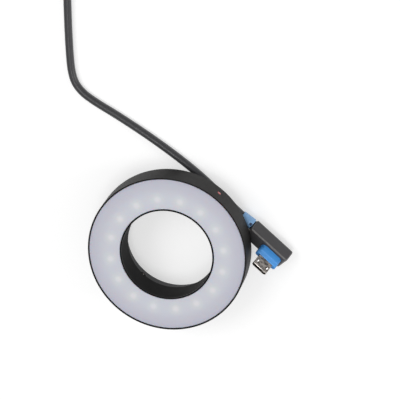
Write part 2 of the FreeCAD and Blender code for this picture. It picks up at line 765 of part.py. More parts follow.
def make_plug_grip():
    """Moulded grip with soft edges, and the stadium foot that stands on it round the shell."""
    grip = new_body("plug_body")
    block = new_sketch(grip, "block_place")
    add_rectangle(block, "0", "0", "grip_long", "grip_tall")
    raised(grip, "block", block, "grip_thick", both=True)
    eased(grip, "soft_edges", "Fillet", lambda edge: True, "grip_round")
    foot = new_body("plug_base")
    stadium = new_sketch(foot, "stadium", lift="grip_thick / 2")
    straight = "(base_long - base_tall) / 2"
    add_rectangle(stadium, "base_shift", "0", f"2 * ({straight})", "base_tall")
    raised(foot, "middle", stadium, "base_proud")
    for name, sign in (("left_end", "-"), ("right_end", "+")):
        end = new_sketch(foot, name + "_place", lift="grip_thick / 2")
        add_circle(end, f"base_shift {sign} {straight}", "0", "base_tall / 2")
        raised(foot, name, end, "base_proud")
    top = size("grip_thick") / 2 + size("base_proud")
    eased(foot, "soft_rim", "Fillet", lambda edge: at_height(edge, top), "base_round")
    mouth = new_sketch(foot, "mouth_place", lift=BASE_FACE)
    add_shell_outline(mouth, "-plug_gap")
    sunk(foot, "mouth", mouth, "plug_root")
    for body in (grip, foot):
        body.Placement = plug_placement()


def make_plug_metal():
    """Folded shell with two latch slots, its plastic core, five contacts and the latch spring."""
    shell = new_body("plug_shell")
    outside = new_sketch(shell, "outside", lift=SHELL_BACK)
    add_shell_outline(outside, "0")
    raised(shell, "block", outside, "plug_root + plug_long")
    inside = new_sketch(shell, "inside", lift=SHELL_BACK)
    add_shell_outline(inside, "plug_sheet")
    sunk(shell, "hollow", inside, "plug_root + plug_long", forward=True)
    slots = new_sketch(shell, "slots_place", lift=HOOK_END + " - latch_hook - 2 * latch_gap")
    for sign in ("-", "+"):
        add_rectangle(slots, f"base_shift {sign} latch_spread", "plug_tall / 2",
                      "latch_width + 2 * latch_gap", "2 * plug_sheet + latch_gap")
    sunk(shell, "slots", slots, "latch_hook + 4 * latch_gap", forward=True)
    core = new_body("plug_insert")
    block = new_sketch(core, "block_place", lift=SHELL_BACK)
    add_shell_outline(block, "plug_sheet + insert_gap")
    raised(core, "block", block, "plug_root + plug_long - insert_recess")
    mouth = new_sketch(core, "mouth_place", lift=BASE_FACE + " + plug_long - insert_recess")
    add_rectangle(mouth, "base_shift", "-mouth_drop", "mouth_width", "mouth_tall")
    sunk(core, "mouth", mouth, "mouth_long")
    ways = new_sketch(core, "latch_ways", lift=SHELL_BACK)
    top = "plug_tall / 2 - plug_sheet"
    room = "latch_gap + latch_thick + latch_drop"
    for sign in ("-", "+"):
        add_rectangle(ways, f"base_shift {sign} latch_spread", f"{top} + (latch_gap - ({room})) / 2",
                      "latch_width + 2 * latch_gap", f"{room} + latch_gap")
    sunk(core, "ways", ways, "plug_root + plug_long", forward=True)
    bridge = new_sketch(core, "bridge_way", lift=SHELL_BACK)
    add_rectangle(bridge, "base_shift", f"{top} + (latch_gap - ({room})) / 2", "2 * latch_spread",
                  f"{room} + latch_gap")
    sunk(core, "bridge", bridge, "latch_thick + 3 * latch_gap", forward=True)
    strips = new_body("plug_contacts")
    strip = new_sketch(strips, "strip_place", lift=BASE_FACE + " + plug_long - insert_recess - mouth_long")
    for i in range(int(size("contact_count"))):
        add_rectangle(strip, f"base_shift + ({i} - (contact_count - 1) / 2) * contact_pitch",
                      "(contact_thick - mouth_tall) / 2 - mouth_drop", "contact_width", "contact_thick")
    raised(strips, "strip", strip, "mouth_long - contact_short")
    for body in (shell, core, strips):
        body.Placement = plug_placement()


def make_latch_spring():
    """One stamping: two arms from a cross bar, each ending in a hook that stands out of its slot."""
    spring = new_body("latch_spring")
    top = "plug_tall / 2 - plug_sheet - latch_gap"
    start = SHELL_BACK + " + latch_gap"
    for name, sign in (("left_arm", "-"), ("right_arm", "+")):
        side = new_sketch(spring, name + "_side", "YZ_Plane", f"base_shift {sign} latch_spread")
        add_outline(side, [
            (f"{top} - latch_thick", start),
            (f"{top} - latch_thick", HOOK_END),
            (top, HOOK_END),
            ("plug_tall / 2 + latch_proud", HOOK_END + " - latch_hook + latch_ramp + latch_crest"),
            ("plug_tall / 2 + latch_proud", HOOK_END + " - latch_hook + latch_ramp"),
            (top, HOOK_END + " - latch_hook"),
            (top, start),
        ])
        raised(spring, name, side, "latch_width", both=True)
    bar = new_sketch(spring, "bar_place", lift=start)
    add_rectangle(bar, "base_shift", f"{top} - latch_thick / 2", "2 * latch_spread", "latch_thick")
    raised(spring, "bar", bar, "latch_thick")
    spring.Placement = plug_placement()


def relief_placement():
    """Frame of the blue relief: Z runs out of the grip's end along the cord."""
    root = Vector(-size("grip_long") / 2, size("relief_up"), -size("relief_back"))
    rotation = FreeCAD.Rotation(Vector(0, 1, 0), -90)
    return plug_placement() * FreeCAD.Placement(root, rotation)


def make_strain_relief():
    """Tapered relief with a rounded root and the small pin mark of its mould."""
    body = new_body("strain_relief")
    turned(body, "taper", [
        ("0", "0"), ("relief_wide - relief_ease", "0"), ("relief_wide", "relief_ease"),
        ("relief_thin", "relief_long"), ("0", "relief_long"),
    ])
    mark = new_sketch(body, "mark_place", "YZ_Plane", "2 * relief_wide")
    add_circle(mark, "0", "dimple_place", "dimple_radius")
    sunk(body, "mark", mark, "relief_wide + dimple_depth")
    body.Placement = relief_placement()


def rounded_route(points):
    """Straight runs joined by tangent arcs, each as large as its two runs allow."""
    share = 0.45
    edges = []
    radii = []
    start = points[0]
    for before, corner, after in zip(points, points[1:], points[2:]):
        back = (before - corner).normalize()
        ahead = (after - corner).normalize()
        half_turn = (math.pi - back.getAngle(ahead)) / 2
        setback = share * min((before - corner).Length, (after - corner).Length)
        radius = setback / math.tan(half_turn)
        entry = corner + back * setback
        leave = corner + ahead * setback
        inward = (back + ahead).normalize()
        middle = corner + inward * (radius / math.cos(half_turn) - radius)
        edges.append(Part.LineSegment(start, entry).toShape())
        edges.append(Part.Arc(entry, middle, leave).toShape())
        radii.append(radius)
        start = leave
    edges.append(Part.LineSegment(start, points[-1]).toShape())
    return Part.Wire(edges), radii


def tube_along(path, radius, start, direction):
    """Sweep a round section along a path."""
    ring = Part.Wire([Part.Circle(start, direction, radius).toShape()])
    return path.makePipeShell([ring], True, False)


def add_shape(label, shape):
    """A node whose shape is worked out here from the sheet's sizes."""
    item = doc.addObject("Part::Feature", label)
    item.Shape = shape
    item.Label = label
    item.Placement = FreeCAD.Placement()
    NODES[label] = item


def report_tube(label, shape, length):
    """Print how the tube's volume compares with its section times its length."""
    section = math.pi * size("cord_radius") ** 2
    print(f"{label}: length {length:.1f}, volume share {shape.Volume / (section * length):.4f}")


def run_points():
    """Corners of the cord from the relief's thin end to the coil."""
    out = relief_placement()
    first = out.multVec(Vector(0, 0, size("relief_long")))
    second = out.multVec(Vector(0, 0, size("relief_long") + size("cord_exit")))
    last = Vector(COIL_ENTRY[0], COIL_ENTRY[1] - 2 * size("cord_radius"), coil_low())
    return [first, second] + [Vector(*point) for point in RUN_POINTS] + [last]


def make_cord_run():
    """The cord from the plug, past the collar and across the ground to the coil."""
    points = run_points()
    path, radii = rounded_route(points)
    shape = tube_along(path, size("cord_radius"), points[0], points[1] - points[0])
    add_shape("cord_run", shape)
    print("cord_run radii", [round(radius, 1) for radius in radii])
    print("cord_run starts at", [round(value, 2) for value in points[0]])
    report_tube("cord_run", shape, path.Length)


def coil_low():
    """Height of the middle of the coil's lower layer."""
    return size("cord_radius") + size("coil_lift")


def coil_inner():
    """Least radius of the coil, in the middle of the climbing half turn."""
    return size("coil_radius") - size("coil_pitch") * (COIL_TURNS_IN + COIL_CLIMB / 2)


def coil_point(turns):
    """Place and heading on the coil after so many turns, clockwise from its left side."""
    pitch, rise = size("coil_pitch"), size("coil_rise")
    reversal = COIL_TURNS_IN + COIL_CLIMB / 2
    finish = COIL_TURNS_IN + COIL_CLIMB + COIL_TURNS_OUT
    radius = coil_inner() + pitch * abs(turns - reversal)
    climbed = min(max((turns - COIL_TURNS_IN) / COIL_CLIMB, 0), 1)
    growth = 0.0 if turns in (0, reversal, finish) else math.copysign(pitch, turns - reversal)
    climb = 2 * rise / COIL_CLIMB if turns == reversal else 0.0
    angle = math.pi - math.tau * turns
    outward = Vector(math.cos(angle), math.sin(angle), 0)
    onward = Vector(math.sin(angle), -math.cos(angle), 0)
    middle = Vector(COIL_ENTRY[0] + size("coil_radius"), COIL_ENTRY[1], coil_low() + rise * climbed)
    heading = onward * (math.tau * radius) + outward * growth + Vector(0, 0, climb)
    return middle + outward * radius, heading.normalize()


def arc_between(start, heading, end):
    """The arc that leaves start along heading and reaches end."""
    chord = end - start
    lean = heading.getAngle(chord)
    side = (heading - chord * (heading.dot(chord) / chord.dot(chord))).normalize()
    middle = (start + end) * 0.5 + side * (chord.Length / 2 * math.tan(lean / 2))
    return Part.Arc(start, middle, end).toShape()


def biarc(start, heading, end, final):
    """Two arcs that meet smoothly between two places with their headings."""
    gap = end - start
    total = heading + final
    squared = 2 * (heading.dot(final) - 1)
    linear = -2 * gap.dot(total)
    if abs(squared) < 1e-9:
        reach = -gap.dot(gap) / linear
    else:
        root = math.sqrt(linear * linear - 4 * squared * gap.dot(gap))
        reach = (-linear - root) / (2 * squared)
        if reach <= 0:
            reach = (-linear + root) / (2 * squared)
    joint = (start + heading * reach + end - final * reach) * 0.5
    onward = (end - final * reach - start - heading * reach).normalize()
    return [arc_between(start, heading, joint), arc_between(joint, onward, end)]


def least_gap(points, reach):
    """Least distance between points further apart along the cord than reach places."""
    least = 1e9
    for i, here in enumerate(points):
        for there in points[i + reach:]:
            least = min(least, (here - there).Length)
    return least


def make_cord_coil():
    """The rest of the cord as one unbroken tube: spiral in, climb a layer, spiral out."""
    quarters = int(4 * (COIL_TURNS_IN + COIL_CLIMB + COIL_TURNS_OUT))
    straight = 2 * size("cord_radius")
    places = [coil_point(i / 4) for i in range(quarters + 1)]
    first, last = places[0], places[-1]
    start, end = first[0] - first[1] * straight, last[0] + last[1] * straight
    edges = [Part.LineSegment(start, first[0]).toShape()]
    for here, there in zip(places, places[1:]):
        edges += biarc(here[0], here[1], there[0], there[1])
    edges.append(Part.LineSegment(last[0], end).toShape())
    path = Part.Wire(edges)
    shape = tube_along(path, size("cord_radius"), start, first[1])
    add_shape("cord_coil", shape)
    step = 1.5
    points = path.discretize(Distance=step)
    gap = least_gap(points, int(4 * straight / step)) - 2 * size("cord_radius")
    print(f"cord_coil: least gap to itself {gap:.2f}, tightest radius {coil_inner():.1f}")
    report_tube("cord_coil", shape, path.Length)
    return end


def make_cord_tie():
    """Band round the coil's bundle, standing on the ground under it."""
    gap, thick = size("tie_gap"), size("tie_thick")
    radius, pitch, wire = size("coil_radius"), size("coil_pitch"), size("cord_radius")
    inner = math.sqrt((radius - pitch * COIL_TURNS_IN - wire) ** 2 - size("tie_width") ** 2 / 4) - gap
    outer = radius - pitch / 2 + wire + gap
    low, high = thick, coil_low() + size("coil_rise") + wire + gap
    band = doc.addObject("Part::Box", "tie_band")
    band.Length, band.Width, band.Height = outer - inner + 2 * thick, size("tie_width"), high - low + 2 * thick
    band.Placement.Base = Vector(inner - thick, -size("tie_width") / 2, 0)
    room = doc.addObject("Part::Box", "tie_room")
    room.Length, room.Width, room.Height = outer - inner, 2 * size("tie_width"), high - low
    room.Placement.Base = Vector(inner, -size("tie_width"), low)
    tie = doc.addObject("Part::Cut", "cord_tie")
    tie.Base = band
    tie.Tool = room
    tie.Label = "cord_tie"
    tie.Placement.Base = Vector(COIL_ENTRY[0] + radius, COIL_ENTRY[1], 0)
    NODES["cord_tie"] = tie


def make_cord_tail(start):
    """The cord's end from the coil to the far plug."""
    points = [start] + [start + Vector(*step) for step in TAIL_STEPS]
    path, radii = rounded_route(points)
    shape = tube_along(path, size("cord_radius"), start, points[1] - points[0])
    add_shape("cord_tail", shape)
    print("cord_tail radii", [round(radius, 1) for radius in radii])
    print("cord_tail from", [round(value, 2) for value in start], "to", [round(v, 2) for v in points[-1]])
    report_tube("cord_tail", shape, path.Length)
    return points[-1], points[-1] - points[-2]


def make_far_plug(place, heading):
    """Flat rectangular plug that lies on its grip, along the cord's last run. X is its length."""
    turn = math.degrees(math.atan2(heading.y, heading.x))
    frame = FreeCAD.Placement(place, FreeCAD.Rotation(Vector(0, 0, 1), turn))
    relief = new_body("usb_relief")
    rings = int(size("usb_relief_rings"))
    corners = [("0", "0"), ("usb_relief_thin", "0")]
    for i in range(rings):
        for part, dip in RING_PROFILE:
            share = (i + part) / (rings + 1)
            radius = f"usb_relief_thin + (usb_relief_wide - usb_relief_thin) * {share} - usb_ring_depth * {dip}"
            corners.append((radius, f"usb_relief_long * {share}"))
    corners += [("usb_relief_wide", "usb_relief_long"), ("0", "usb_relief_long")]
    turned(relief, "taper", corners)
    relief.Placement = frame * FreeCAD.Placement(Vector(), FreeCAD.Rotation(Vector(0, 1, 0), 90))
    start = "usb_relief_long"
    grip = new_body("usb_grip")
    side = new_sketch(grip, "top_view")
    add_rectangle(side, f"{start} + usb_grip_long / 2", "0", "usb_grip_long", "usb_grip_wide")
    raised(grip, "block", side, "usb_grip_tall", both=True)
    eased(grip, "soft_edges", "Fillet", lambda edge: True, "usb_grip_round")
    face = f"{start} + usb_grip_long"
    shell = new_body("usb_shell")
    outside = new_sketch(shell, "outside", "YZ_Plane", face)
    add_rectangle(outside, "0", "0", "usb_shell_wide", "usb_shell_tall")
    raised(shell, "block", outside, "usb_shell_long")
    inside = new_sketch(shell, "inside", "YZ_Plane", face)
    add_rectangle(inside, "0", "0", "usb_shell_wide - 2 * usb_sheet", "usb_shell_tall - 2 * usb_sheet")
    sunk(shell, "hollow", inside, "usb_shell_long", forward=True)
    windows = new_sketch(shell, "windows_place", lift="-usb_shell_tall")
    for sign in ("-", "+"):
        add_rectangle(windows, f"{face} + usb_window_place", f"0 {sign} usb_window_spread",
                      "usb_window", "usb_window")
    sunk(shell, "windows", windows, "2 * usb_shell_tall", forward=True)
    tongue = new_body("usb_tongue")
    blade = new_sketch(tongue, "blade_place", "YZ_Plane", face)
    add_rectangle(blade, "0", "(usb_shell_tall - usb_tongue_thick) / 2 - usb_sheet - insert_gap",
                  "usb_shell_wide - 2 * usb_sheet - 2 * insert_gap", "usb_tongue_thick")
    raised(tongue, "blade", blade, "usb_shell_long - usb_tongue_short")
    strips = new_body("usb_contacts")
    strip = new_sketch(strips, "strip_place", "YZ_Plane", face)
    under = "usb_shell_tall / 2 - usb_tongue_thick - usb_sheet - insert_gap - contact_thick / 2"
    for i in range(int(size("usb_contact_count"))):
        add_rectangle(strip, f"({i} - (usb_contact_count - 1) / 2) * usb_contact_pitch", under,
                      "usb_contact_width", "contact_thick")
    raised(strips, "strip", strip, "usb_shell_long - usb_contact_short")
    for body in (grip, shell, tongue, strips):
        body.Placement = frame


def check_objects():
    """Stop if anything in the document failed or any node is not a valid shape."""
    doc.recompute()
    for item in doc.Objects:
        if "Invalid" in item.State or "Error" in item.State:
            raise RuntimeError(f"{item.Name} failed: {item.State}")
    for name, item in NODES.items():
        if item.Shape.isNull() or not item.Shape.isValid() or not item.Shape.Solids:
            raise RuntimeError(f"{name} has no valid shape")


def write_parts():
    """Write each node's solids to its own file."""
    os.makedirs("parts", exist_ok=True)
    for name, item in NODES.items():
        item.Shape.exportStep(f"parts/{name}.step")
        print(f"{name}: {len(item.Shape.Solids)} solids, {item.Shape.Volume:.1f} mm3")


make_housing()
make_index_dot()
make_rear_cover()
make_inner_sleeve()
make_diffuser()
make_reflector()
make_led_board()
make_leds()
make_driver_parts()
make_fixed_screws()
make_mounting_collar()
for screw in range(int(size("clamp_count"))):
    make_clamp_screw(screw)
    make_screw_tip(screw)
make_socket()
make_plug_grip()
make_plug_metal()
make_latch_spring()
make_strain_relief()
make_cord_run()
coil_end = make_cord_coil()
make_cord_tie()
far_place, far_heading = make_cord_tail(coil_end)
make_far_plug(far_place, far_heading)
check_objects()
write_parts()
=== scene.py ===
import bmesh
import bpy
import json
import math
from mathutils import Matrix, Vector

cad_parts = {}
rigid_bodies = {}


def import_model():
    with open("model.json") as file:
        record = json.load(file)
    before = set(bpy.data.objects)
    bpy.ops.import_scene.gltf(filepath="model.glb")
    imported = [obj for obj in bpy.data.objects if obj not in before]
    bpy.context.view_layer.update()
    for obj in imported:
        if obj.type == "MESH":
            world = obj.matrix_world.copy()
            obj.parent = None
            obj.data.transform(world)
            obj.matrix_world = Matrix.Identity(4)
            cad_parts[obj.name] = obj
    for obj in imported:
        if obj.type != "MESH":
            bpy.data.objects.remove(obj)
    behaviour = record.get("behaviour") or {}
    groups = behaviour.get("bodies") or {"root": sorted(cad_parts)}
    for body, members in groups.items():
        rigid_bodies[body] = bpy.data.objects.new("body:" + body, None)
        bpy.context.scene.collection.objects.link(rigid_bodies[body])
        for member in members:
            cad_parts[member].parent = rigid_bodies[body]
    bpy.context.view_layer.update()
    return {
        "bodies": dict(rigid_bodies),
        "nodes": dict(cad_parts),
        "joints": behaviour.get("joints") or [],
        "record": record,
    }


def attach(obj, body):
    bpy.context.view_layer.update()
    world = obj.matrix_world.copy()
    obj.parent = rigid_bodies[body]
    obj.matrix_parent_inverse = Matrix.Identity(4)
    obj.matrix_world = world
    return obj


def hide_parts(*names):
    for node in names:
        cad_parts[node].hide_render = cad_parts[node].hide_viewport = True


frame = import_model()

# The studio: a pale floor under the light, a camera at the photograph's angle, a plain room and three
# soft lamps. The floor shows white to the camera and in metal, and keeps the shadow of what lies on it.
MM = 0.001
CAMERA_PLACE = (0.172446, 0.313847, 0.791816)
CAMERA_RIGHT = (0.97914, 0.00406, -0.20313)
CAMERA_UP = (-0.07378, 0.93864, -0.33690)
CAMERA_BACK = (0.18930, 0.34486, 0.91937)
CAMERA_LENS = 191.1
ROOM_CEILING = 0.58
ROOM_WALL = 0.1
FLOOR_REACH = 3.0
FLOOR_DROP = 0.2
FLOOR_PALE = 0.8
FLOOR_SHADE = 0.6
FLOOR_WHITE = 0.55
LAMPS = [
    ("key_lamp", (-1.1, 0.9, 2.1), 1.4, 17.5),
    ("top_lamp", (0.16, -0.14, 2.3), 0.55, 8),
    ("side_lamp", (2.1, 0.1, 0.9), 0.9, 12),
]


def join(tree, source, target):
    """Link a socket to another, or give it a plain value."""
    if isinstance(source, bpy.types.NodeSocket):
        tree.links.new(source, target)
    else:
        target.default_value = source


def arithmetic(tree, operation, *values):
    """A Math node on sockets or numbers, and its result."""
    node = tree.nodes.new("ShaderNodeMath")
    node.operation = operation
    for place, value in enumerate(values):
        join(tree, value, node.inputs[place])
    return node.outputs[0]


def grey(level):
    """A neutral colour of this level."""
    return (level, level, level, 1)


def parted(tree, vector):
    """The X, Y and Z of a vector socket."""
    node = tree.nodes.new("ShaderNodeSeparateXYZ")
    join(tree, vector, node.inputs[0])
    return node.outputs


def shown(name, data):
    """A new object with this data, linked into the scene."""
    piece = bpy.data.objects.new(name, data)
    bpy.context.collection.objects.link(piece)
    return piece


def seen_or_mirrored(tree):
    """One where a camera, glossy or glass ray arrives, else nought."""
    path = tree.nodes.new("ShaderNodeLightPath")
    seen = arithmetic(tree, "MAXIMUM", path.outputs["Is Camera Ray"], path.outputs["Is Glossy Ray"])
    return arithmetic(tree, "MAXIMUM", seen, path.outputs["Is Transmission Ray"])


camera_data = bpy.data.cameras.new("camera")
camera_data.sensor_width = 36
camera_data.lens = CAMERA_LENS
camera_data.clip_start = 0.01
camera_data.clip_end = 20
camera = shown("camera", camera_data)
turn = Matrix((CAMERA_RIGHT, CAMERA_UP, CAMERA_BACK)).transposed()
camera.matrix_world = Matrix.Translation(CAMERA_PLACE) @ turn.to_4x4()
bpy.context.scene.camera = camera
bpy.context.scene.view_settings.view_transform = "Standard"

world = bpy.data.worlds.new("room")
world.use_nodes = True
bpy.context.scene.world = world
room = world.node_tree
room_light = room.nodes["Background"]
room_light.inputs["Color"].default_value = grey(1)
room_way = room.nodes.new("ShaderNodeTexCoord")
room_rise = room.nodes.new("ShaderNodeMapRange")
room_rise.inputs["To Min"].default_value = ROOM_WALL
room_rise.inputs["To Max"].default_value = ROOM_CEILING
join(room, parted(room, room_way.outputs["Generated"])["Z"], room_rise.inputs["Value"])
join(room, room_rise.outputs["Result"], room_light.inputs["Strength"])
room_seen = room.nodes.new("ShaderNodeBackground")
room_seen.inputs["Color"].default_value = grey(1)
room_mix = room.nodes.new("ShaderNodeMixShader")
room_path = room.nodes.new("ShaderNodeLightPath")
join(room, room_path.outputs["Is Camera Ray"], room_mix.inputs["Fac"])
join(room, room_light.outputs[0], room_mix.inputs[1])
join(room, room_seen.outputs[0], room_mix.inputs[2])
join(room, room_mix.outputs[0], room.nodes["World Output"].inputs["Surface"])

floor_mesh = bpy.data.meshes.new("floor")
corners = [(x * FLOOR_REACH, y * FLOOR_REACH, 0) for x, y in ((-1, -1), (1, -1), (1, 1), (-1, 1))]
floor_mesh.from_pydata(corners, [], [(0, 1, 2, 3)])
floor = shown("floor", floor_mesh)
floor.location.z = -FLOOR_DROP * MM
floor_paint = bpy.data.materials.new("floor_paint")
floor_paint.use_nodes = True
floor_tree = floor_paint.node_tree
floor_tree.nodes.clear()
floor_out = floor_tree.nodes.new("ShaderNodeOutputMaterial")
pale = floor_tree.nodes.new("ShaderNodeBsdfDiffuse")
pale.inputs["Color"].default_value = grey(FLOOR_PALE)
shade = floor_tree.nodes.new("ShaderNodeBsdfDiffuse")
shade.inputs["Color"].default_value = grey(FLOOR_SHADE)
glow = floor_tree.nodes.new("ShaderNodeEmission")
glow.inputs["Strength"].default_value = FLOOR_WHITE
lifted = floor_tree.nodes.new("ShaderNodeAddShader")
join(floor_tree, shade.outputs[0], lifted.inputs[0])
join(floor_tree, glow.outputs[0], lifted.inputs[1])
floor_mix = floor_tree.nodes.new("ShaderNodeMixShader")
join(floor_tree, seen_or_mirrored(floor_tree), floor_mix.inputs["Fac"])
join(floor_tree, pale.outputs[0], floor_mix.inputs[1])
join(floor_tree, lifted.outputs[0], floor_mix.inputs[2])
join(floor_tree, floor_mix.outputs[0], floor_out.inputs["Surface"])
floor_mesh.materials.append(floor_paint)

for name, place, across, watts in LAMPS:
    lamp_data = bpy.data.lights.new(name, "AREA")
    lamp_data.size = across
    lamp_data.energy = watts
    lamp = shown(name, lamp_data)
    lamp.location = place
    lamp.rotation_euler = (-Vector(place)).to_track_quat("-Z", "Y").to_euler()

# The housing: one moulded shell of satin black plastic with a thin lip in front, four screw posts inside,
# a window for the socket and a seat for the index dot in its side. Its edges carry the mould's rounds.
RIM = 32.5
REAR = 8.5
FRONT = 20.5
SEAT = 18.25
COVER_TOP = 10.1
BOARD_LOW = 14.5
HOUSING_OUTLINE = [
    (RIM, REAR, 0.5), (RIM, FRONT, 0.25), (31.95, FRONT, 0.2), (31.95, SEAT), (30.5, SEAT, 0.1),
    (30.5, COVER_TOP), (31.3, COVER_TOP), (31.3, REAR, 0.12),
]
POST_CIRCLE = 28.6
POST_TURN = 20.35
POST_OUTLINE = [(0, COVER_TOP), (2.2, COVER_TOP, 0.1), (2.2, BOARD_LOW, 0.1), (0, BOARD_LOW)]
SCREW_HOLE = 1.0
SOCKET_TURN = 261.6
SOCKET_HEIGHT = 13.2
WINDOW_SIZE = (8.1, 3.2, 0.45)
WINDOW_START = 26
WINDOW_DEEP = 9
DOT_TURN = 51.9
DOT_HEIGHT = 13.8
DOT_RADIUS = 0.76
DOT_DEPTH = 0.4
SHARP_ANGLE = 32
BLOTCH_SHARE = 0.06
EDGE_MASK_GAIN = 6.0
SCUFFS_A_METRE = 900


def softened(corners, steps=4):
    """An outline through (x, y, radius) corners, each rounded by its own radius, in millimetres."""
    outline = []
    for place, corner in enumerate(corners):
        here = Vector(corner[:2])
        radius = corner[2] if len(corner) > 2 else 0
        if not radius:
            outline.append(here)
            continue
        back = (Vector(corners[place - 1][:2]) - here).normalized()
        ahead = (Vector(corners[(place + 1) % len(corners)][:2]) - here).normalized()
        half = back.angle(ahead) / 2
        middle = here + (back + ahead).normalized() * (radius / math.sin(half))
        first = here + back * (radius / math.tan(half)) - middle
        last = here + ahead * (radius / math.tan(half)) - middle
        sweep = first.angle_signed(last)
        for step in range(steps + 1):
            spot = first.copy()
            spot.rotate(Matrix.Rotation(-sweep * step / steps, 2))
            outline.append(middle + spot)
    return outline


def rounded_box(width, height, radius, across=0.0, up=0.0):
    """The corners of a rectangle by its sides, its corner radius and its middle."""
    half, tall = width / 2, height / 2
    return [(across + x * half, up + y * tall, radius) for x, y in ((-1, -1), (1, -1), (1, 1), (-1, 1))]


def piece_of(name, mesh, frame=Matrix()):
    """A Blender object from a mesh built in millimetres in its own frame."""
    bmesh.ops.remove_doubles(mesh, verts=mesh.verts, dist=1e-4)
    bmesh.ops.recalc_face_normals(mesh, faces=mesh.faces)
    data = bpy.data.meshes.new(name)
    mesh.to_mesh(data)
    mesh.free()
    data.transform(Matrix.Scale(MM, 4) @ frame)
    return shown(name, data)


def spun(name, corners, steps=128, frame=Matrix(), shape=None):
    """A piece turned about its frame's Z axis from a closed (radius, height, round) outline. Where a
    shape function is given, it moves each point from its angle, radius and height."""
    mesh = bmesh.new()
    outline = softened(corners)
    rings = []
    for step in range(steps):
        angle = math.tau * step / steps
        ring = []
        for radius, height in outline:
            if shape:
                radius, height = shape(angle, radius, height)
            ring.append(mesh.verts.new((radius * math.cos(angle), radius * math.sin(angle), height)))
        rings.append(ring)
    for ring, following in zip(rings, rings[1:] + rings[:1]):
        for place in range(len(outline)):
            upper = (place + 1) % len(outline)
            mesh.faces.new((ring[place], following[place], following[upper], ring[upper]))
    return piece_of(name, mesh, frame)


def band(mesh, ring, following):
    """The faces between two rings that have as many points each."""
    for place in range(len(ring)):
        beyond = (place + 1) % len(ring)
        mesh.faces.new((ring[place], ring[beyond], following[beyond], following[place]))


def raised(name, corners, low, high, frame=Matrix(), soft=0.0, soft_low=0.0, steps=6):
    """A piece drawn up along its frame's Z axis from a flat outline, with its rims rounded."""
    mesh = bmesh.new()
    outline = softened(corners, steps)
    under = [mesh.verts.new((x, y, low)) for x, y in outline]
    over = [mesh.verts.new((x, y, high)) for x, y in outline]
    mesh.faces.new(under[::-1])
    mesh.faces.new(over)
    band(mesh, under, over)
    for rim, amount in ((over, soft), (under, soft_low)):
        if amount:
            edges = [edge for edge in mesh.edges if edge.verts[0] in rim and edge.verts[1] in rim]
            bmesh.ops.bevel(mesh, geom=edges, offset=amount, segments=4, profile=0.5, affect="EDGES",
                            clamp_overlap=True)
            mesh.verts.ensure_lookup_table()
    return piece_of(name, mesh, frame)


def drill(radius, low, high, frame, steps=24):
    """A plain round tool from low to high along its frame's Z axis."""
    return spun("drill", [(0, low), (radius, low), (radius, high), (0, high)], steps, frame)


def applied(piece):
    """Bake the modifiers of a piece into its mesh."""
    graph = bpy.context.evaluated_depsgraph_get()
    result = bpy.data.meshes.new_from_object(piece.evaluated_get(graph))
    piece.modifiers.clear()
    piece.data = result


def combined(piece, tools, operation="DIFFERENCE"):
    """Cut each tool from the piece, or join it to the piece; the tools are used up."""
    for tool in tools:
        step = piece.modifiers.new("tool", "BOOLEAN")
        step.operation = operation
        step.solver = "EXACT"
        step.object = tool
    applied(piece)
    for tool in tools:
        bpy.data.objects.remove(tool)
    return piece


def rotated(degrees, axis):
    """A turn about one axis."""
    return Matrix.Rotation(math.radians(degrees), 4, axis)


def four_around(circle, turn):
    """Four frames on a circle about the light's axis, a quarter turn apart, with X outward and Z up."""
    return [rotated(turn + 90 * quarter, "Z") @ Matrix.Translation((circle, 0, 0)) for quarter in range(4)]


def facing_out(turn, height, reach=0.0):
    """A frame at an angle on the rim: X round the rim, Y up and Z outward."""
    return rotated(turn + 90, "Z") @ Matrix.Translation((0, -reach, height)) @ rotated(90, "X")


def fitted(piece, material, body, slot, *nodes):
    """Shade a piece, dress it and put it in the place of its solids."""
    piece.data.shade_smooth()
    piece.data.set_sharp_from_angle(angle=math.radians(SHARP_ANGLE))
    weigh = piece.modifiers.new("weigh", "WEIGHTED_NORMAL")
    weigh.keep_sharp = True
    applied(piece)
    piece.data.materials.clear()
    piece.data.materials.append(material)
    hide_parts(*nodes)
    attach(piece, body)
    return piece


def object_place(tree):
    """Where a point lies on the whole part, in metres."""
    return tree.nodes.new("ShaderNodeTexCoord").outputs["Object"]


def opened(material):
    """A material's node tree and its Principled shader."""
    return material.node_tree, material.node_tree.nodes["Principled BSDF"]


def fed(node, socket):
    """What feeds one of a node's sockets so far."""
    return node.inputs[socket].links[0].from_socket


def noise(tree, detail, scale):
    """A noise over the whole part, by its detail and its scale per metre."""
    node = tree.nodes.new("ShaderNodeTexNoise")
    node.inputs["Detail"].default_value = detail
    join(tree, object_place(tree), node.inputs["Vector"])
    join(tree, scale, node.inputs["Scale"])
    return node.outputs["Fac"]


def measured(tree, operation, first, second):
    """The value that a Vector Math node makes of two vectors."""
    node = tree.nodes.new("ShaderNodeVectorMath")
    node.operation = operation
    join(tree, first, node.inputs[0])
    join(tree, second, node.inputs[1])
    return node.outputs["Value"]


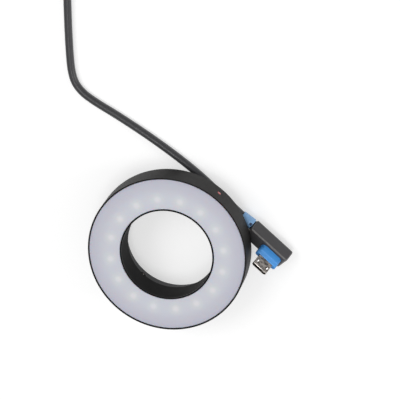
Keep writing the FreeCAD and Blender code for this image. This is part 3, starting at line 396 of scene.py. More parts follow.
def skin_group():
    """Shader group: the fine grain and faint blotches of a moulded skin, by the size of its grain."""
    group = bpy.data.node_groups.new("moulded_skin", "ShaderNodeTree")
    group.interface.new_socket("Colour", in_out="INPUT", socket_type="NodeSocketColor")
    for name in ("Grain per m", "Blotch", "Roughness", "Roughness spread"):
        group.interface.new_socket(name, in_out="INPUT", socket_type="NodeSocketFloat")
    group.interface.new_socket("Colour", in_out="OUTPUT", socket_type="NodeSocketColor")
    for name in ("Roughness", "Height"):
        group.interface.new_socket(name, in_out="OUTPUT", socket_type="NodeSocketFloat")
    given = group.nodes.new("NodeGroupInput")
    result = group.nodes.new("NodeGroupOutput")
    grain = noise(group, 3, given.outputs["Grain per m"])
    blotch = noise(group, 4, arithmetic(group, "MULTIPLY", given.outputs["Grain per m"], BLOTCH_SHARE))
    centred = arithmetic(group, "SUBTRACT", blotch, 0.5)
    value = arithmetic(group, "MULTIPLY_ADD", centred, given.outputs["Blotch"], 1.0)
    tint = group.nodes.new("ShaderNodeHueSaturation")
    join(group, given.outputs["Colour"], tint.inputs["Color"])
    join(group, value, tint.inputs["Value"])
    spread = arithmetic(group, "SUBTRACT", arithmetic(group, "ADD", grain, blotch), 1.0)
    rough = arithmetic(group, "MULTIPLY_ADD", spread, given.outputs["Roughness spread"],
                       given.outputs["Roughness"])
    join(group, tint.outputs["Color"], result.inputs["Colour"])
    join(group, rough, result.inputs["Roughness"])
    join(group, grain, result.inputs["Height"])
    return group


def rubbed_group():
    """Shader group: the mask of rounded edges, broken up by noise, for edges rubbed bare or shiny in handling
    and for painted highlights along edges.
    """
    group = bpy.data.node_groups.new("rubbed_and_highlit_edges", "ShaderNodeTree")
    for name in ("Width", "Amount"):
        group.interface.new_socket(name, in_out="INPUT", socket_type="NodeSocketFloat")
    group.interface.new_socket("Mask", in_out="OUTPUT", socket_type="NodeSocketFloat")
    given = group.nodes.new("NodeGroupInput")
    result = group.nodes.new("NodeGroupOutput")
    rounded = group.nodes.new("ShaderNodeBevel")
    rounded.samples = 4
    join(group, given.outputs["Width"], rounded.inputs["Radius"])
    shape = group.nodes.new("ShaderNodeNewGeometry")
    likeness = measured(group, "DOT_PRODUCT", rounded.outputs[0], shape.outputs["Normal"])
    edge = arithmetic(group, "MULTIPLY", arithmetic(group, "SUBTRACT", 1.0, likeness), EDGE_MASK_GAIN)
    broken = arithmetic(group, "MULTIPLY", edge, noise(group, 5, SCUFFS_A_METRE))
    mask = group.nodes.new("ShaderNodeClamp")
    join(group, arithmetic(group, "MULTIPLY", broken, given.outputs["Amount"]), mask.inputs[0])
    join(group, mask.outputs[0], result.inputs["Mask"])
    return group


skin = skin_group()
rubbed_and_highlit = rubbed_group()


def placed(tree, group, **values):
    """One group node in a tree, with its input values."""
    node = tree.nodes.new("ShaderNodeGroup")
    node.node_tree = group
    for name, value in values.items():
        node.inputs[name.replace("_", " ")].default_value = value
    return node


def blended(tree, mask, first, second):
    """A colour that goes from the first to the second as the mask goes from nought to one."""
    mix = tree.nodes.new("ShaderNodeMix")
    mix.data_type = "RGBA"
    join(tree, mask, mix.inputs["Factor"])
    for colour, socket in ((first, mix.inputs[6]), (second, mix.inputs[7])):
        join(tree, (*colour, 1) if isinstance(colour, tuple) else colour, socket)
    return mix.outputs[2]


def moulded(name, colour, roughness, grain=0.25, depth=0.01, blotch=0.25, spread=0.12, rub_and_highlight=None, **settings):
    """A moulded plastic or rubber: the skin group on a Principled shader, whose fixed settings are given
    by name. Grain and depth are in millimetres; the rubbed-edge colour, amount and width give edges rubbed
    paler in wear, and on the plug's foot a painted highlight."""
    material = bpy.data.materials.new(name)
    material.use_nodes = True
    tree, shader = opened(material)
    node = placed(tree, skin, Colour=(*colour, 1), Grain_per_m=1 / (grain * MM), Blotch=blotch,
                  Roughness=roughness, Roughness_spread=spread)
    face = node.outputs["Colour"]
    if rub_and_highlight:
        wear_and_highlight = placed(tree, rubbed_and_highlit, Width=rub_and_highlight[2] * MM, Amount=rub_and_highlight[1])
        face = blended(tree, wear_and_highlight.outputs["Mask"], face, rub_and_highlight[0])
    bump = tree.nodes.new("ShaderNodeBump")
    bump.inputs["Distance"].default_value = depth * MM
    join(tree, node.outputs["Height"], bump.inputs["Height"])
    join(tree, face, shader.inputs["Base Color"])
    join(tree, node.outputs["Roughness"], shader.inputs["Roughness"])
    join(tree, bump.outputs[0], shader.inputs["Normal"])
    for socket, value in settings.items():
        shader.inputs[socket.replace("_", " ")].default_value = value
    return material


housing = spun("housing_shell", HOUSING_OUTLINE, steps=192)
posts = four_around(POST_CIRCLE, POST_TURN)
combined(housing, [spun("post", POST_OUTLINE, 32, post) for post in posts], "UNION")
tools = [drill(SCREW_HOLE, REAR, BOARD_LOW + 1, post) for post in posts]
tools.append(raised("window", rounded_box(*WINDOW_SIZE), 0, WINDOW_DEEP,
                    facing_out(SOCKET_TURN, SOCKET_HEIGHT, WINDOW_START)))
tools.append(drill(DOT_RADIUS, 0, 2, facing_out(DOT_TURN, DOT_HEIGHT, RIM - DOT_DEPTH), 32))
combined(housing, tools)
shell_black = moulded("shell_black_skin", (0.014, 0.013, 0.0125), 0.5, grain=0.12, depth=0.004, blotch=0.2,
                      rub_and_highlight=((0.05, 0.05, 0.05), 0.6, 0.25), Specular_IOR_Level=0.12)
fitted(housing, shell_black, "light", "shell_black", "housing")

# The index dot: a spot of red enamel filled into its round seat in the rim, rounded at its edge. Its flat
# face is bent back to the rim's curve.
DOT_FILL = DOT_RADIUS - 0.01
DOT_OUTLINE = [(0, 0), (DOT_FILL, 0), (DOT_FILL, DOT_DEPTH, 0.09), (0, DOT_DEPTH)]

dot = spun("index_dot_fill", DOT_OUTLINE, 40, facing_out(DOT_TURN, DOT_HEIGHT, RIM - DOT_DEPTH))
outward = Vector((math.cos(math.radians(DOT_TURN)), math.sin(math.radians(DOT_TURN)), 0))
for vertex in dot.data.vertices:
    aside = vertex.co.x * outward.y - vertex.co.y * outward.x
    drop = RIM * MM - math.sqrt((RIM * MM) ** 2 - aside ** 2)
    vertex.co -= outward * drop
dot_red = moulded("dot_enamel", (0.68, 0.03, 0.03), 0.25, grain=0.4, depth=0.003, Coat_Weight=0.5)
fitted(dot, dot_red, "light", "dot_red", "index_dot")

# The light inside: a ring of white board on the posts with sixteen emitters, the driver's parts under
# it, and a glossy white tray that throws the light forward. They keep their solids and are only dressed.
EMITTER_CIRCLE = 23.43
EMITTER_TURN = 9.1
EMITTER_COUNT = 16
PHOSPHOR_FADE = (1.05, 1.2)
PHOSPHOR_YELLOW = (0.88, 0.7, 0.16)


def emitter_reach(tree):
    """Distance from the nearest emitter's middle and from the light's axis, in metres."""
    place = parted(tree, object_place(tree))
    squares = arithmetic(tree, "MULTIPLY", place["X"], place["X"])
    radius = arithmetic(tree, "SQRT", arithmetic(tree, "MULTIPLY_ADD", place["Y"], place["Y"], squares))
    angle = arithmetic(tree, "ARCTAN2", place["Y"], place["X"])
    cell = math.tau / EMITTER_COUNT
    turned = arithmetic(tree, "SUBTRACT", angle, math.radians(EMITTER_TURN) - cell / 2)
    local = arithmetic(tree, "SUBTRACT", arithmetic(tree, "FLOORED_MODULO", turned, cell), cell / 2)
    across = arithmetic(tree, "MULTIPLY", local, EMITTER_CIRCLE * MM)
    outward = arithmetic(tree, "SUBTRACT", radius, EMITTER_CIRCLE * MM)
    squared = arithmetic(tree, "MULTIPLY_ADD", outward, outward, arithmetic(tree, "MULTIPLY", across, across))
    return arithmetic(tree, "SQRT", squared), radius


def faded(tree, value, first, last, unit=MM):
    """One where the value is at first, nought at last and beyond, with a soft change between."""
    node = tree.nodes.new("ShaderNodeMapRange")
    node.interpolation_type = "SMOOTHERSTEP"
    join(tree, value, node.inputs["Value"])
    node.inputs["From Min"].default_value = first * unit
    node.inputs["From Max"].default_value = last * unit
    node.inputs["To Min"].default_value = 1
    node.inputs["To Max"].default_value = 0
    return node.outputs["Result"]


def tinted(material, mask, colour):
    """Turn a material's colour towards another where the mask is one."""
    tree, shader = opened(material)
    join(tree, blended(tree, mask, fed(shader, "Base Color"), colour), shader.inputs["Base Color"])


def roughened(material, mask, amount):
    """Make a material rougher, or smoother by a negative amount, where the mask is one."""
    tree, shader = opened(material)
    rough = arithmetic(tree, "MULTIPLY_ADD", mask, amount, fed(shader, "Roughness"))
    join(tree, rough, shader.inputs["Roughness"])


def carried(name, material):
    """Dress a piece that keeps its solid."""
    piece = bpy.data.objects[name]
    piece.data.materials.clear()
    piece.data.materials.append(material)


tray_white = moulded("tray_white", (0.9, 0.9, 0.88), 0.22, grain=0.4, depth=0.002, blotch=0.04)
board_white = moulded("solder_mask_white", (0.8, 0.81, 0.78), 0.38, grain=0.5, depth=0.004, blotch=0.08,
                      Coat_Weight=0.2)
emitter = moulded("emitter_phosphor", (0.86, 0.86, 0.84), 0.3, grain=0.1, depth=0.003, blotch=0.05)
from_spot, from_axis = emitter_reach(emitter.node_tree)
tinted(emitter, faded(emitter.node_tree, from_spot, *PHOSPHOR_FADE), PHOSPHOR_YELLOW)
driver_dark = moulded("driver_casings", (0.045, 0.045, 0.047), 0.5, grain=0.08, depth=0.006, blotch=0.5)
for name, finish in (("reflector", tray_white), ("led_board", board_white), ("leds", emitter),
                     ("driver_parts", driver_dark)):
    carried(name, finish)

# The diffuser: a milky ring of opal plastic that drops between the two lips and rests on the housing's
# ledge. Unlit, it is faintly violet. Light coming through it from behind is painted on its face: a paler band
# over the row of emitters, halos and warm blurred spots over the emitters themselves, and painted shade
# darkening its outer edge.
DIFFUSER_OUTLINE = [(19.3, SEAT), (31.9, SEAT), (31.9, 20.25, 0.3), (19.3, 20.25, 0.3)]
OPAL = (0.585, 0.585, 0.67)
OPAL_PAINTED_BAND = (0.665, 0.68, 0.75)
OPAL_PAINTED_HALO = (0.71, 0.74, 0.76)
OPAL_PAINTED_SPOT = (0.815, 0.81, 0.845)
OPAL_PAINTED_SHADE = (0.5, 0.5, 0.6)
ROW_MIDDLE = 22.8
ROW_FADE = 8.5
EDGE_FADE = (29.3, 32.0)
EDGE_AMOUNT = 0.5
HALO_FADE = (1.2, 4.2)
HALO_AMOUNT = 0.6
SPOT_FADE = (0.2, 2.2)
SPOT_AMOUNT = 0.85

diffuser = spun("diffuser_ring", DIFFUSER_OUTLINE, steps=192)
opal = moulded("opal_plastic", OPAL, 0.42, grain=0.2, depth=0.002, blotch=0.05, spread=0.06,
               Subsurface_Weight=0.12, Subsurface_Scale=1.5 * MM)
opal_tree = opal.node_tree
from_spot, from_axis = emitter_reach(opal_tree)
off_row = arithmetic(opal_tree, "ABSOLUTE", arithmetic(opal_tree, "SUBTRACT", from_axis, ROW_MIDDLE * MM))
row = faded(opal_tree, off_row, 0, ROW_FADE)
halo = faded(opal_tree, from_spot, *HALO_FADE)
edge = arithmetic(opal_tree, "SUBTRACT", 1.0, faded(opal_tree, from_axis, *EDGE_FADE))
spots = faded(opal_tree, from_spot, *SPOT_FADE)
# Painted light from behind: the paler band, the halos and the spots. Painted shade: the darker outer edge.
for zone, amount, colour in ((row, 1.0, OPAL_PAINTED_BAND), (halo, HALO_AMOUNT, OPAL_PAINTED_HALO),
                             (edge, EDGE_AMOUNT, OPAL_PAINTED_SHADE), (spots, SPOT_AMOUNT, OPAL_PAINTED_SPOT)):
    tinted(opal, arithmetic(opal_tree, "MULTIPLY", zone, amount), colour)
fitted(diffuser, opal, "light", "diffuser_milk", "diffuser")

# The inner sleeve: a glossy black tube that lines the hole, its thin front lip polished and the inside
# of the hole a fine dull black. Four lugs at its foot take the collar's screws.
SLEEVE_HOLE = 18.65
LIP_TOP = 20.4
SLEEVE_OUTLINE = [
    (SLEEVE_HOLE, REAR, 0.15), (19.95, REAR), (19.95, SEAT, 0.1), (19.25, SEAT), (19.25, LIP_TOP, 0.25),
    (SLEEVE_HOLE, LIP_TOP, 0.28),
]
LIP_POLISH = (19.7, 20.1)
WALL_DULL = 0.45
COLLAR_CIRCLE = 23.25
COLLAR_SCREW_TURN = 65.0
LUG_HIGH = 11.1
LUG_OUTLINE = [(-3.6, -1.75), (-3.6, 1.75), (1.75, 1.75, 1.74), (1.75, -1.75, 1.74)]

sleeve = spun("sleeve_tube", SLEEVE_OUTLINE, steps=160)
bolts = four_around(COLLAR_CIRCLE, COLLAR_SCREW_TURN)
lugs = [raised("lug", LUG_OUTLINE, COVER_TOP, LUG_HIGH, bolt, soft=0.12) for bolt in bolts]
combined(sleeve, lugs, "UNION")
combined(sleeve, [drill(SCREW_HOLE, REAR, LUG_HIGH + 2, bolt) for bolt in bolts])
sleeve_black = moulded("sleeve_gloss", (0.006, 0.006, 0.0065), 0.2, grain=0.15, depth=0.003, blotch=0.15,
                       Specular_IOR_Level=0.1)
sleeve_tree = sleeve_black.node_tree
below_lip = faded(sleeve_tree, parted(sleeve_tree, object_place(sleeve_tree))["Z"], *LIP_POLISH)
roughened(sleeve_black, below_lip, WALL_DULL)
fitted(sleeve, sleeve_black, "light", "sleeve_black", "inner_sleeve")

# The rear cover: a flat moulded ring, sunk for its four screws and drilled for the collar's, with a finely
# sparked surface. It closes the shell from behind.
COVER_OUTLINE = [(20.05, REAR, 0.15), (31.2, REAR, 0.2), (31.2, COVER_TOP), (20.05, COVER_TOP)]
HEAD_SEAT = 1.8
HEAD_SUNK = REAR + 0.9
HEAD_SEAT_OUTLINE = [
    (0, REAR - 1), (HEAD_SEAT + 0.15, REAR - 1), (HEAD_SEAT + 0.15, REAR), (HEAD_SEAT, REAR + 0.15),
    (HEAD_SEAT, HEAD_SUNK), (SCREW_HOLE, HEAD_SUNK), (SCREW_HOLE, COVER_TOP + 1), (0, COVER_TOP + 1),
]

cover = spun("cover_plate", COVER_OUTLINE, 192)
tools = []
for post, bolt in zip(posts, bolts):
    tools.append(spun("head_seat", HEAD_SEAT_OUTLINE, 40, post))
    tools.append(drill(SCREW_HOLE, REAR - 1, COVER_TOP + 1, bolt))
combined(cover, tools)
cover_black = moulded("cover_spark_grain", (0.025, 0.025, 0.026), 0.55, grain=0.18, depth=0.02, blotch=0.2,
                      rub_and_highlight=((0.07, 0.07, 0.07), 0.4, 0.25))
fitted(cover, cover_black, "light", "cover_black", "rear_cover")

# The fixed screws: small zinc-plated pan heads with a pressed cross. The cover's four show from behind;
# the board's and the collar's sit inside and keep their solids.
HEAD_RADIUS = 1.6
SHANK_RADIUS = 0.95
SCREW_OUTLINE = [
    (0, REAR), (0.9, REAR), (HEAD_RADIUS, REAR + 0.18, 0.3), (HEAD_RADIUS, HEAD_SUNK, 0.08),
    (SHANK_RADIUS, HEAD_SUNK), (SHANK_RADIUS, 12.3), (0.5, 12.6), (0, 12.6),
]
CROSS_ARM = (2.0, 0.42, 0.1)
CROSS_DEEP = 0.45
CROSS_TURN = 30


def plated(name, colour, roughness, line=0.05, depth=0.002, rub_and_highlight=None):
    """A plated or blackened metal with fine tool lines and a faint cloud in its lustre."""
    return moulded(name, colour, roughness, grain=line, depth=depth, blotch=0.18, spread=0.2, rub_and_highlight=rub_and_highlight,
                   Metallic=1.0)


screws = bmesh.new()
for post in posts:
    screw = spun("screw", SCREW_OUTLINE, 40, post)
    arms = []
    for angle in (CROSS_TURN, CROSS_TURN + 90):
        arm = post @ Matrix.Translation((0, 0, REAR)) @ rotated(angle, "Z")
        arms.append(raised("cross", rounded_box(*CROSS_ARM), -0.5, CROSS_DEEP, arm, soft=0.08))
    combined(screw, arms)
    screws.from_mesh(screw.data)
    bpy.data.objects.remove(screw)
screw_data = bpy.data.meshes.new("cover_screws_made")
screws.to_mesh(screw_data)
screws.free()
cover_screws = shown("cover_screws_made", screw_data)
zinc = plated("zinc_plate", (0.6, 0.6, 0.61), 0.32, rub_and_highlight=((0.75, 0.75, 0.76), 0.5, 0.12))
fitted(cover_screws, zinc, "light", "screw_zinc", "cover_screws")
carried("board_screws", zinc)
carried("collar_screws", zinc)

# The power socket: a folded, tinned shell on the board's edge with its mouth rolled a little, a black
# tongue inside it and five gold strips, which keep their solids.
SOCKET_SIZE = (7.5, 2.6, 0.5)
SOCKET_ROOM = (6.9, 2.0, 0.3)
SOCKET_DEEP = 5.6
ROOM_DEEP = 5.3
SOCKET_SUNK = 0.9
ROOT_SIZE = (6.84, 1.94, 0.25)
ROOT_TOP = -3.9
BLADE_SIZE = (3.6, 0.6, 0.1)
BLADE_TOP = -0.5

socket_frame = facing_out(SOCKET_TURN, SOCKET_HEIGHT, RIM - SOCKET_SUNK)
socket = raised("socket_box", rounded_box(*SOCKET_SIZE), -SOCKET_DEEP, 0, socket_frame, soft=0.1)
combined(socket, [raised("socket_room", rounded_box(*SOCKET_ROOM), -ROOM_DEEP, 1, socket_frame)])
tin = plated("tin_plate", (0.62, 0.62, 0.62), 0.3, rub_and_highlight=((0.8, 0.8, 0.8), 0.5, 0.15))
fitted(socket, tin, "light", "socket_steel", "socket_shell")
tongue = raised("socket_root", rounded_box(*ROOT_SIZE), -ROOM_DEEP, ROOT_TOP, socket_frame)
blade = raised("blade", rounded_box(*BLADE_SIZE), ROOT_TOP - 0.3, BLADE_TOP, socket_frame, soft=0.12)
combined(tongue, [blade], "UNION")
core_black = moulded("core_black", (0.018, 0.018, 0.019), 0.45, grain=0.1, depth=0.003)
fitted(tongue, core_black, "light", "tongue_black", "socket_tongue")
gold = plated("gold_flash", (0.85, 0.62, 0.25), 0.28)
carried("socket_contacts", gold)

# The mounting collar: a turned ring, black anodised, that slips over a barrel. Its rear edge is cut to a
# small chamfer, its side is tapped for three clamp screws and its front for the sleeve's four.
BARREL = 21.0
COLLAR_RADIUS = 25.5
COLLAR_CHAMFER = 0.5
COLLAR_OUTLINE = [
    (BARREL, 0, 0.25), (COLLAR_RADIUS - COLLAR_CHAMFER, 0, 0.06), (COLLAR_RADIUS, COLLAR_CHAMFER, 0.06),
    (COLLAR_RADIUS, REAR, 0.1), (BARREL, REAR, 0.1),
]
BOLT_END = 5.85
CLAMP_TURN = 110.0
CLAMP_HEIGHT = 4.25
SIDE_START = 19
SIDE_HOLE_OUTLINE = [(0, 0), (1.55, 0), (1.55, 6.2), (1.95, 6.6), (1.95, 9), (0, 9)]
LATHE_LINES = 1600
LATHE_WANDER = 0.4

collar = spun("collar_ring", COLLAR_OUTLINE, 192)
tools = [drill(SCREW_HOLE, BOLT_END, REAR + 0.5, bolt) for bolt in bolts]
for third in range(3):
    side = facing_out(CLAMP_TURN + 120 * third, CLAMP_HEIGHT, SIDE_START)
    tools.append(spun("side_hole", SIDE_HOLE_OUTLINE, 40, side))
combined(collar, tools)
anodised = plated("black_anodised", (0.035, 0.035, 0.037), 0.38, line=0.06, depth=0.003,
                  rub_and_highlight=((0.3, 0.3, 0.31), 0.3, 0.2))
anodised_tree = anodised.node_tree
turning = anodised_tree.nodes.new("ShaderNodeTexWave")
turning.wave_type = "BANDS"
turning.bands_direction = "Z"
turning.inputs["Scale"].default_value = LATHE_LINES
turning.inputs["Distortion"].default_value = LATHE_WANDER
join(anodised_tree, object_place(anodised_tree), turning.inputs["Vector"])
anodised_bump = [node for node in anodised_tree.nodes if node.type == "BUMP"][0]
lathe_height = arithmetic(anodised_tree, "ADD", fed(anodised_bump, "Height"), turning.outputs["Fac"])
join(anodised_tree, lathe_height, anodised_bump.inputs["Height"])
fitted(collar, anodised, "light", "collar_aluminium", "mounting_collar")

# The clamp screws: three thumb screws with fluted, dished heads and a rolled thread, black nickelled,
# each with a soft nylon tip that bears on the barrel. They turn and travel, so each part rides alone.
THREAD = 1.5
THREAD_PITCH = 0.5
THREAD_DEPTH = 0.27
THREAD_START = 22.75
THREAD_TURNS = 11
THREAD_ROWS = 8
CREST_WIDTH = 1.35
FLANK_SLOPE = 4
SHANK_CORE = 1.0
SHANK_START = 22.5
SHANK_END = 28.2
KNOB_START = 27.8
KNOB_END = 30.4
KNOB_RADIUS = 2.9
KNOB_FLUTES = 18
FLUTE_DEPTH = 0.3
FLUTE_POWER = 1.5
FLUTE_FLOOR = KNOB_RADIUS - 0.45
DISH = KNOB_END - 0.5
KNOB_OUTLINE = [
    (0, KNOB_START), (KNOB_RADIUS, KNOB_START, 0.3), (KNOB_RADIUS, KNOB_END, 0.35), (1.6, KNOB_END, 0.12),
    (1.1, DISH, 0.15), (0, DISH),
]
SPIGOT_OUTLINE = [(0, 21.8), (0.55, 21.8, 0.08), (0.55, 22.6), (0, 22.6)]
TIP_OUTLINE = [
    (0, 21.1), (1.05, 21.1, 0.12), (1.4, 21.45, 0.12), (1.4, 22.45, 0.1), (0.6, 22.45), (0.6, 21.75),
    (0, 21.75),
]


def fluted(angle, radius, height):
    """Press rounded flutes into the knob's side."""
    if radius > FLUTE_FLOOR:
        radius -= FLUTE_DEPTH * max(0, math.cos(angle * KNOB_FLUTES)) ** FLUTE_POWER
    return radius, height


def threaded(angle, radius, height):
    """Roll the thread's helix into the screw's shank."""
    if radius < THREAD:
        return radius, height
    phase = (height / THREAD_PITCH + angle / math.tau) % 1
    ridge = min(max(CREST_WIDTH - FLANK_SLOPE * abs(phase - 0.5), 0), 1)
    return THREAD - THREAD_DEPTH * (1 - ridge), height


blackened = plated("black_nickel", (0.09, 0.088, 0.09), 0.3, rub_and_highlight=((0.3, 0.295, 0.29), 0.25, 0.07))
nylon = moulded("natural_nylon", (0.8, 0.79, 0.74), 0.42, grain=0.3, depth=0.004, blotch=0.06,
                Subsurface_Weight=0.1, Subsurface_Scale=0.8 * MM)
shank_outline = [(0, SHANK_START), (SHANK_CORE, SHANK_START)]
for row in range(THREAD_TURNS * THREAD_ROWS):
    shank_outline.append((THREAD, THREAD_START + row * THREAD_PITCH / THREAD_ROWS))
shank_outline += [(SHANK_CORE, SHANK_END), (0, SHANK_END)]
for third in range(3):
    clamp = facing_out(CLAMP_TURN + 120 * third, CLAMP_HEIGHT)
    knob = spun(f"clamp_screw_{third + 1}_made", KNOB_OUTLINE, 216, clamp, fluted)
    shank = spun("shank", shank_outline, 48, clamp, threaded)
    spigot = spun("spigot", SPIGOT_OUTLINE, 24, clamp)
    combined(knob, [shank, spigot], "UNION")
    fitted(knob, blackened, f"knob_{third + 1}", "clamp_steel", f"clamp_screw_{third + 1}")
    tip = spun(f"screw_tip_{third + 1}_made", TIP_OUTLINE, 40, clamp)
    fitted(tip, nylon, f"tip_{third + 1}", "tip_nylon", f"screw_tip_{third + 1}")

# The right-angle plug's grip: a block moulded in soft dark grey, with full round edges that carry a painted
# highlight and that handling has worn smoother. It lies on its lower edge, turned as the photograph shows it.
PLUG_PLACE = (38.43, 1.86, 4.37)
PLUG_HEADING = -41.0
PLUG_LEAN = 33.6
PLUG = Matrix.Translation(PLUG_PLACE) @ rotated(PLUG_HEADING, "Z") @ rotated(PLUG_LEAN, "X")
GRIP_LONG = 19.5
GRIP_TALL = 8.14
GRIP_HALF = 2.935
GRIP_CORNER = 0.7
GRIP_ROUND = 1.15
GRIP_GREY = (0.062, 0.06, 0.063)
GRIP_EDGE_HIGHLIGHT = (0.15, 0.143, 0.138)
HIGHLIGHT_AND_WEAR = 0.85
WEAR_POLISH = 0.14
ROUND_MIDDLE = 0.8
ROUND_START = 0.995


def skinned(name, sections, frame=Matrix(), closed=False):
    """A piece through rings of points in millimetres. The first and last ring are capped or, where the
    piece is closed, joined to each other."""
    mesh = bmesh.new()
    rings = [[mesh.verts.new(point) for point in ring] for ring in sections]
    for ring, following in zip(rings, rings[1:]):
        band(mesh, ring, following)
    if closed:
        band(mesh, rings[-1], rings[0])
    else:
        mesh.faces.new(rings[0][::-1])
        mesh.faces.new(rings[-1])
    return piece_of(name, mesh, frame)


def soft_block(name, width, height, corner, half, soft, frame=Matrix(), across=0.0, steps=6):
    """A moulded block whose two rims are rounded by soft and whose four upright edges by corner."""
    sections = []
    for level in range(2 * steps + 2):
        step = min(level, 2 * steps + 1 - level)
        angle = math.pi / 2 * step / steps
        inset = soft * (1 - math.sin(angle))
        rise = (half - soft + soft * math.cos(angle)) * (-1 if level <= steps else 1)
        outline = rounded_box(width - 2 * inset, height - 2 * inset, max(corner - inset, 0.05), across)
        sections.append([(x, y, rise) for x, y in softened(outline, 5)])
    return skinned(name, sections, frame)


def off_square(tree, frame):
    """How far a surface turns off a block's three axes: nought on the flat faces, one along the middle of
    a rounded edge."""
    shape = tree.nodes.new("ShaderNodeTexCoord")
    square = 0.0
    for axis in frame.to_3x3().transposed():
        along = measured(tree, "DOT_PRODUCT", shape.outputs["Normal"], axis)
        square = arithmetic(tree, "MAXIMUM", square, arithmetic(tree, "ABSOLUTE", along))
    return faded(tree, square, ROUND_MIDDLE, ROUND_START, unit=1)


def soft_grey(name, frame):
    """The grip's grey with a painted highlight, paler along the rounded edges of a block in this frame, where
    wear also makes it smoother.
    """
    material = moulded(name, GRIP_GREY, 0.46, grain=0.2, depth=0.012, blotch=0.2)
    wear_and_highlight = arithmetic(material.node_tree, "MULTIPLY", off_square(material.node_tree, frame), HIGHLIGHT_AND_WEAR)
    tinted(material, wear_and_highlight, GRIP_EDGE_HIGHLIGHT)
    roughened(material, wear_and_highlight, -WEAR_POLISH)
    return material


grip = soft_block("plug_grip", GRIP_LONG, GRIP_TALL, GRIP_CORNER, GRIP_HALF, GRIP_ROUND, PLUG)
fitted(grip, soft_grey("grip_soft_grey", PLUG), "light", "grip_grey", "plug_body")

# The foot: a blue stadium moulded over the shell's root, its two long shoulders sloped in towards the
# shell, with a painted highlight as a paler line where the slope starts.
FOOT_PLACE = 3.25
FOOT_LONG = 10.2
FOOT_WIDE = 4.8
FOOT_ROUND = 2.39
SHOULDER_ROUND = 1.9
FOOT_ROOT = GRIP_HALF - 0.4
FOOT_SHOULDER = 5.7
FOOT_SLOPE = 1.3
FOOT_FACE = 6.985
FOOT_SIDE = [
    (0, FOOT_ROOT), (0, FOOT_SHOULDER, 0.15), (FOOT_SLOPE, FOOT_FACE, 0.2), (FOOT_SLOPE + 0.2, FOOT_FACE),
]
MOUTH_FLOOR = 4.985
MOUTH_GAP = 0.05
MOUTH_BEND = 0.3
SHELL_HALF = 3.425
SHELL_RISE = 0.9
SHELL_CUT = 0.7


def shell_corners(shrink, bend):
    """The plug shell's outline: a rectangle with its two lower corners cut off, and its bends."""
    half, rise = SHELL_HALF - shrink, SHELL_RISE - shrink
    corners = [(-half + SHELL_CUT, -rise), (half - SHELL_CUT, -rise), (half, -rise + SHELL_CUT), (half, rise),
               (-half, rise), (-half, -rise + SHELL_CUT)]
    return [(FOOT_PLACE + x, y, bend) for x, y in corners]


foot_sections = []
for inset, height in softened(FOOT_SIDE, 5):
    end_round = min(FOOT_ROUND - inset, SHOULDER_ROUND)
    end_inset = max(inset - FOOT_SLOPE, 0)
    outline = rounded_box(FOOT_LONG - 2 * end_inset, FOOT_WIDE - 2 * inset, end_round, FOOT_PLACE)
    foot_sections.append([(x, y, height) for x, y in softened(outline, 16)])
foot = skinned("plug_foot", foot_sections, PLUG)
mouth = raised("mouth", shell_corners(-MOUTH_GAP, MOUTH_BEND), MOUTH_FLOOR, FOOT_FACE + 1, PLUG)
combined(foot, [mouth])
# The rubbed-edge colour here is a painted highlight along the shoulders' round.
base_blue = moulded("foot_blue", (0.068, 0.325, 0.79), 0.42, grain=0.3, depth=0.005, blotch=0.1,
                    rub_and_highlight=((0.15, 0.46, 1.0), 10.0, 0.7), Specular_IOR_Level=0.3)
fitted(foot, base_blue, "light", "base_blue", "plug_base")

# The plug's shell: folded from bright nickelled sheet, with its locked seam below, two slots for the
# latch's hooks above and its mouth belled a little.
PLUG_END = 11.935
SHEET = 0.25
OUTER_BEND = 0.32
INNER_BEND = 0.12
BELL = 0.07
SHELL_STEPS = [
    (MOUTH_FLOOR, 0), (11.45, 0), (11.7, -BELL / 3), (11.87, -BELL), (PLUG_END, 0.06 - BELL),
    (PLUG_END, 0.19 - BELL), (11.83, SHEET - BELL), (11.55, SHEET), (MOUTH_FLOOR, SHEET),
]
LATCH_ASIDE = 2.45
SLOT_SIZE = (0.84, 1.58, 0.12)
SLOT_PLACE = 9.755
SLOT_REACH = (0.2, 2)
SEAM_DEEP = 0.2
SEAM_CUTS = [(0, 8.45, 0.07, 8), (-0.35, 8.65, 0.7, 0.07), (-0.7, 9.2, 0.07, 1.1), (-0.35, 9.75, 0.7, 0.07)]


def rolled(material, spacing, depth):
    """Add the faint waves that rolling leaves in bright sheet, by their spacing and depth in mm."""
    tree, shader = opened(material)
    bump = tree.nodes.new("ShaderNodeBump")
    bump.inputs["Distance"].default_value = depth * MM
    join(tree, noise(tree, 1, 1 / (spacing * MM)), bump.inputs["Height"])
    join(tree, fed(shader, "Normal"), bump.inputs["Normal"])
    join(tree, bump.outputs[0], shader.inputs["Normal"])


shell_rings = []
for height, shrink in SHELL_STEPS:
    bend = OUTER_BEND if shrink < SHEET / 2 else INNER_BEND
    shell_rings.append([(x, y, height) for x, y in softened(shell_corners(shrink, bend))])
plug_shell = skinned("plug_shell_folded", shell_rings, PLUG, closed=True)
tools = []
for side in (-LATCH_ASIDE, LATCH_ASIDE):
    slot = PLUG @ Matrix.Translation((FOOT_PLACE + side, 0, SLOT_PLACE)) @ rotated(-90, "X")
    tools.append(raised("slot", rounded_box(*SLOT_SIZE), *SLOT_REACH, slot))
for across, up, width, height in SEAM_CUTS:
    seam = PLUG @ Matrix.Translation((FOOT_PLACE + across, -SHELL_RISE, up))
    tools.append(raised("seam", rounded_box(width, SEAM_DEEP, 0.01), -height / 2, height / 2, seam))
combined(plug_shell, tools)
nickel = plated("bright_nickel", (0.32, 0.295, 0.275), 0.19, line=0.04, rub_and_highlight=((0.7, 0.68, 0.66), 1.0, 0.15))
rolled(nickel, spacing=2.4, depth=0.13)
fitted(plug_shell, nickel, "light", "plug_steel", "plug_shell")

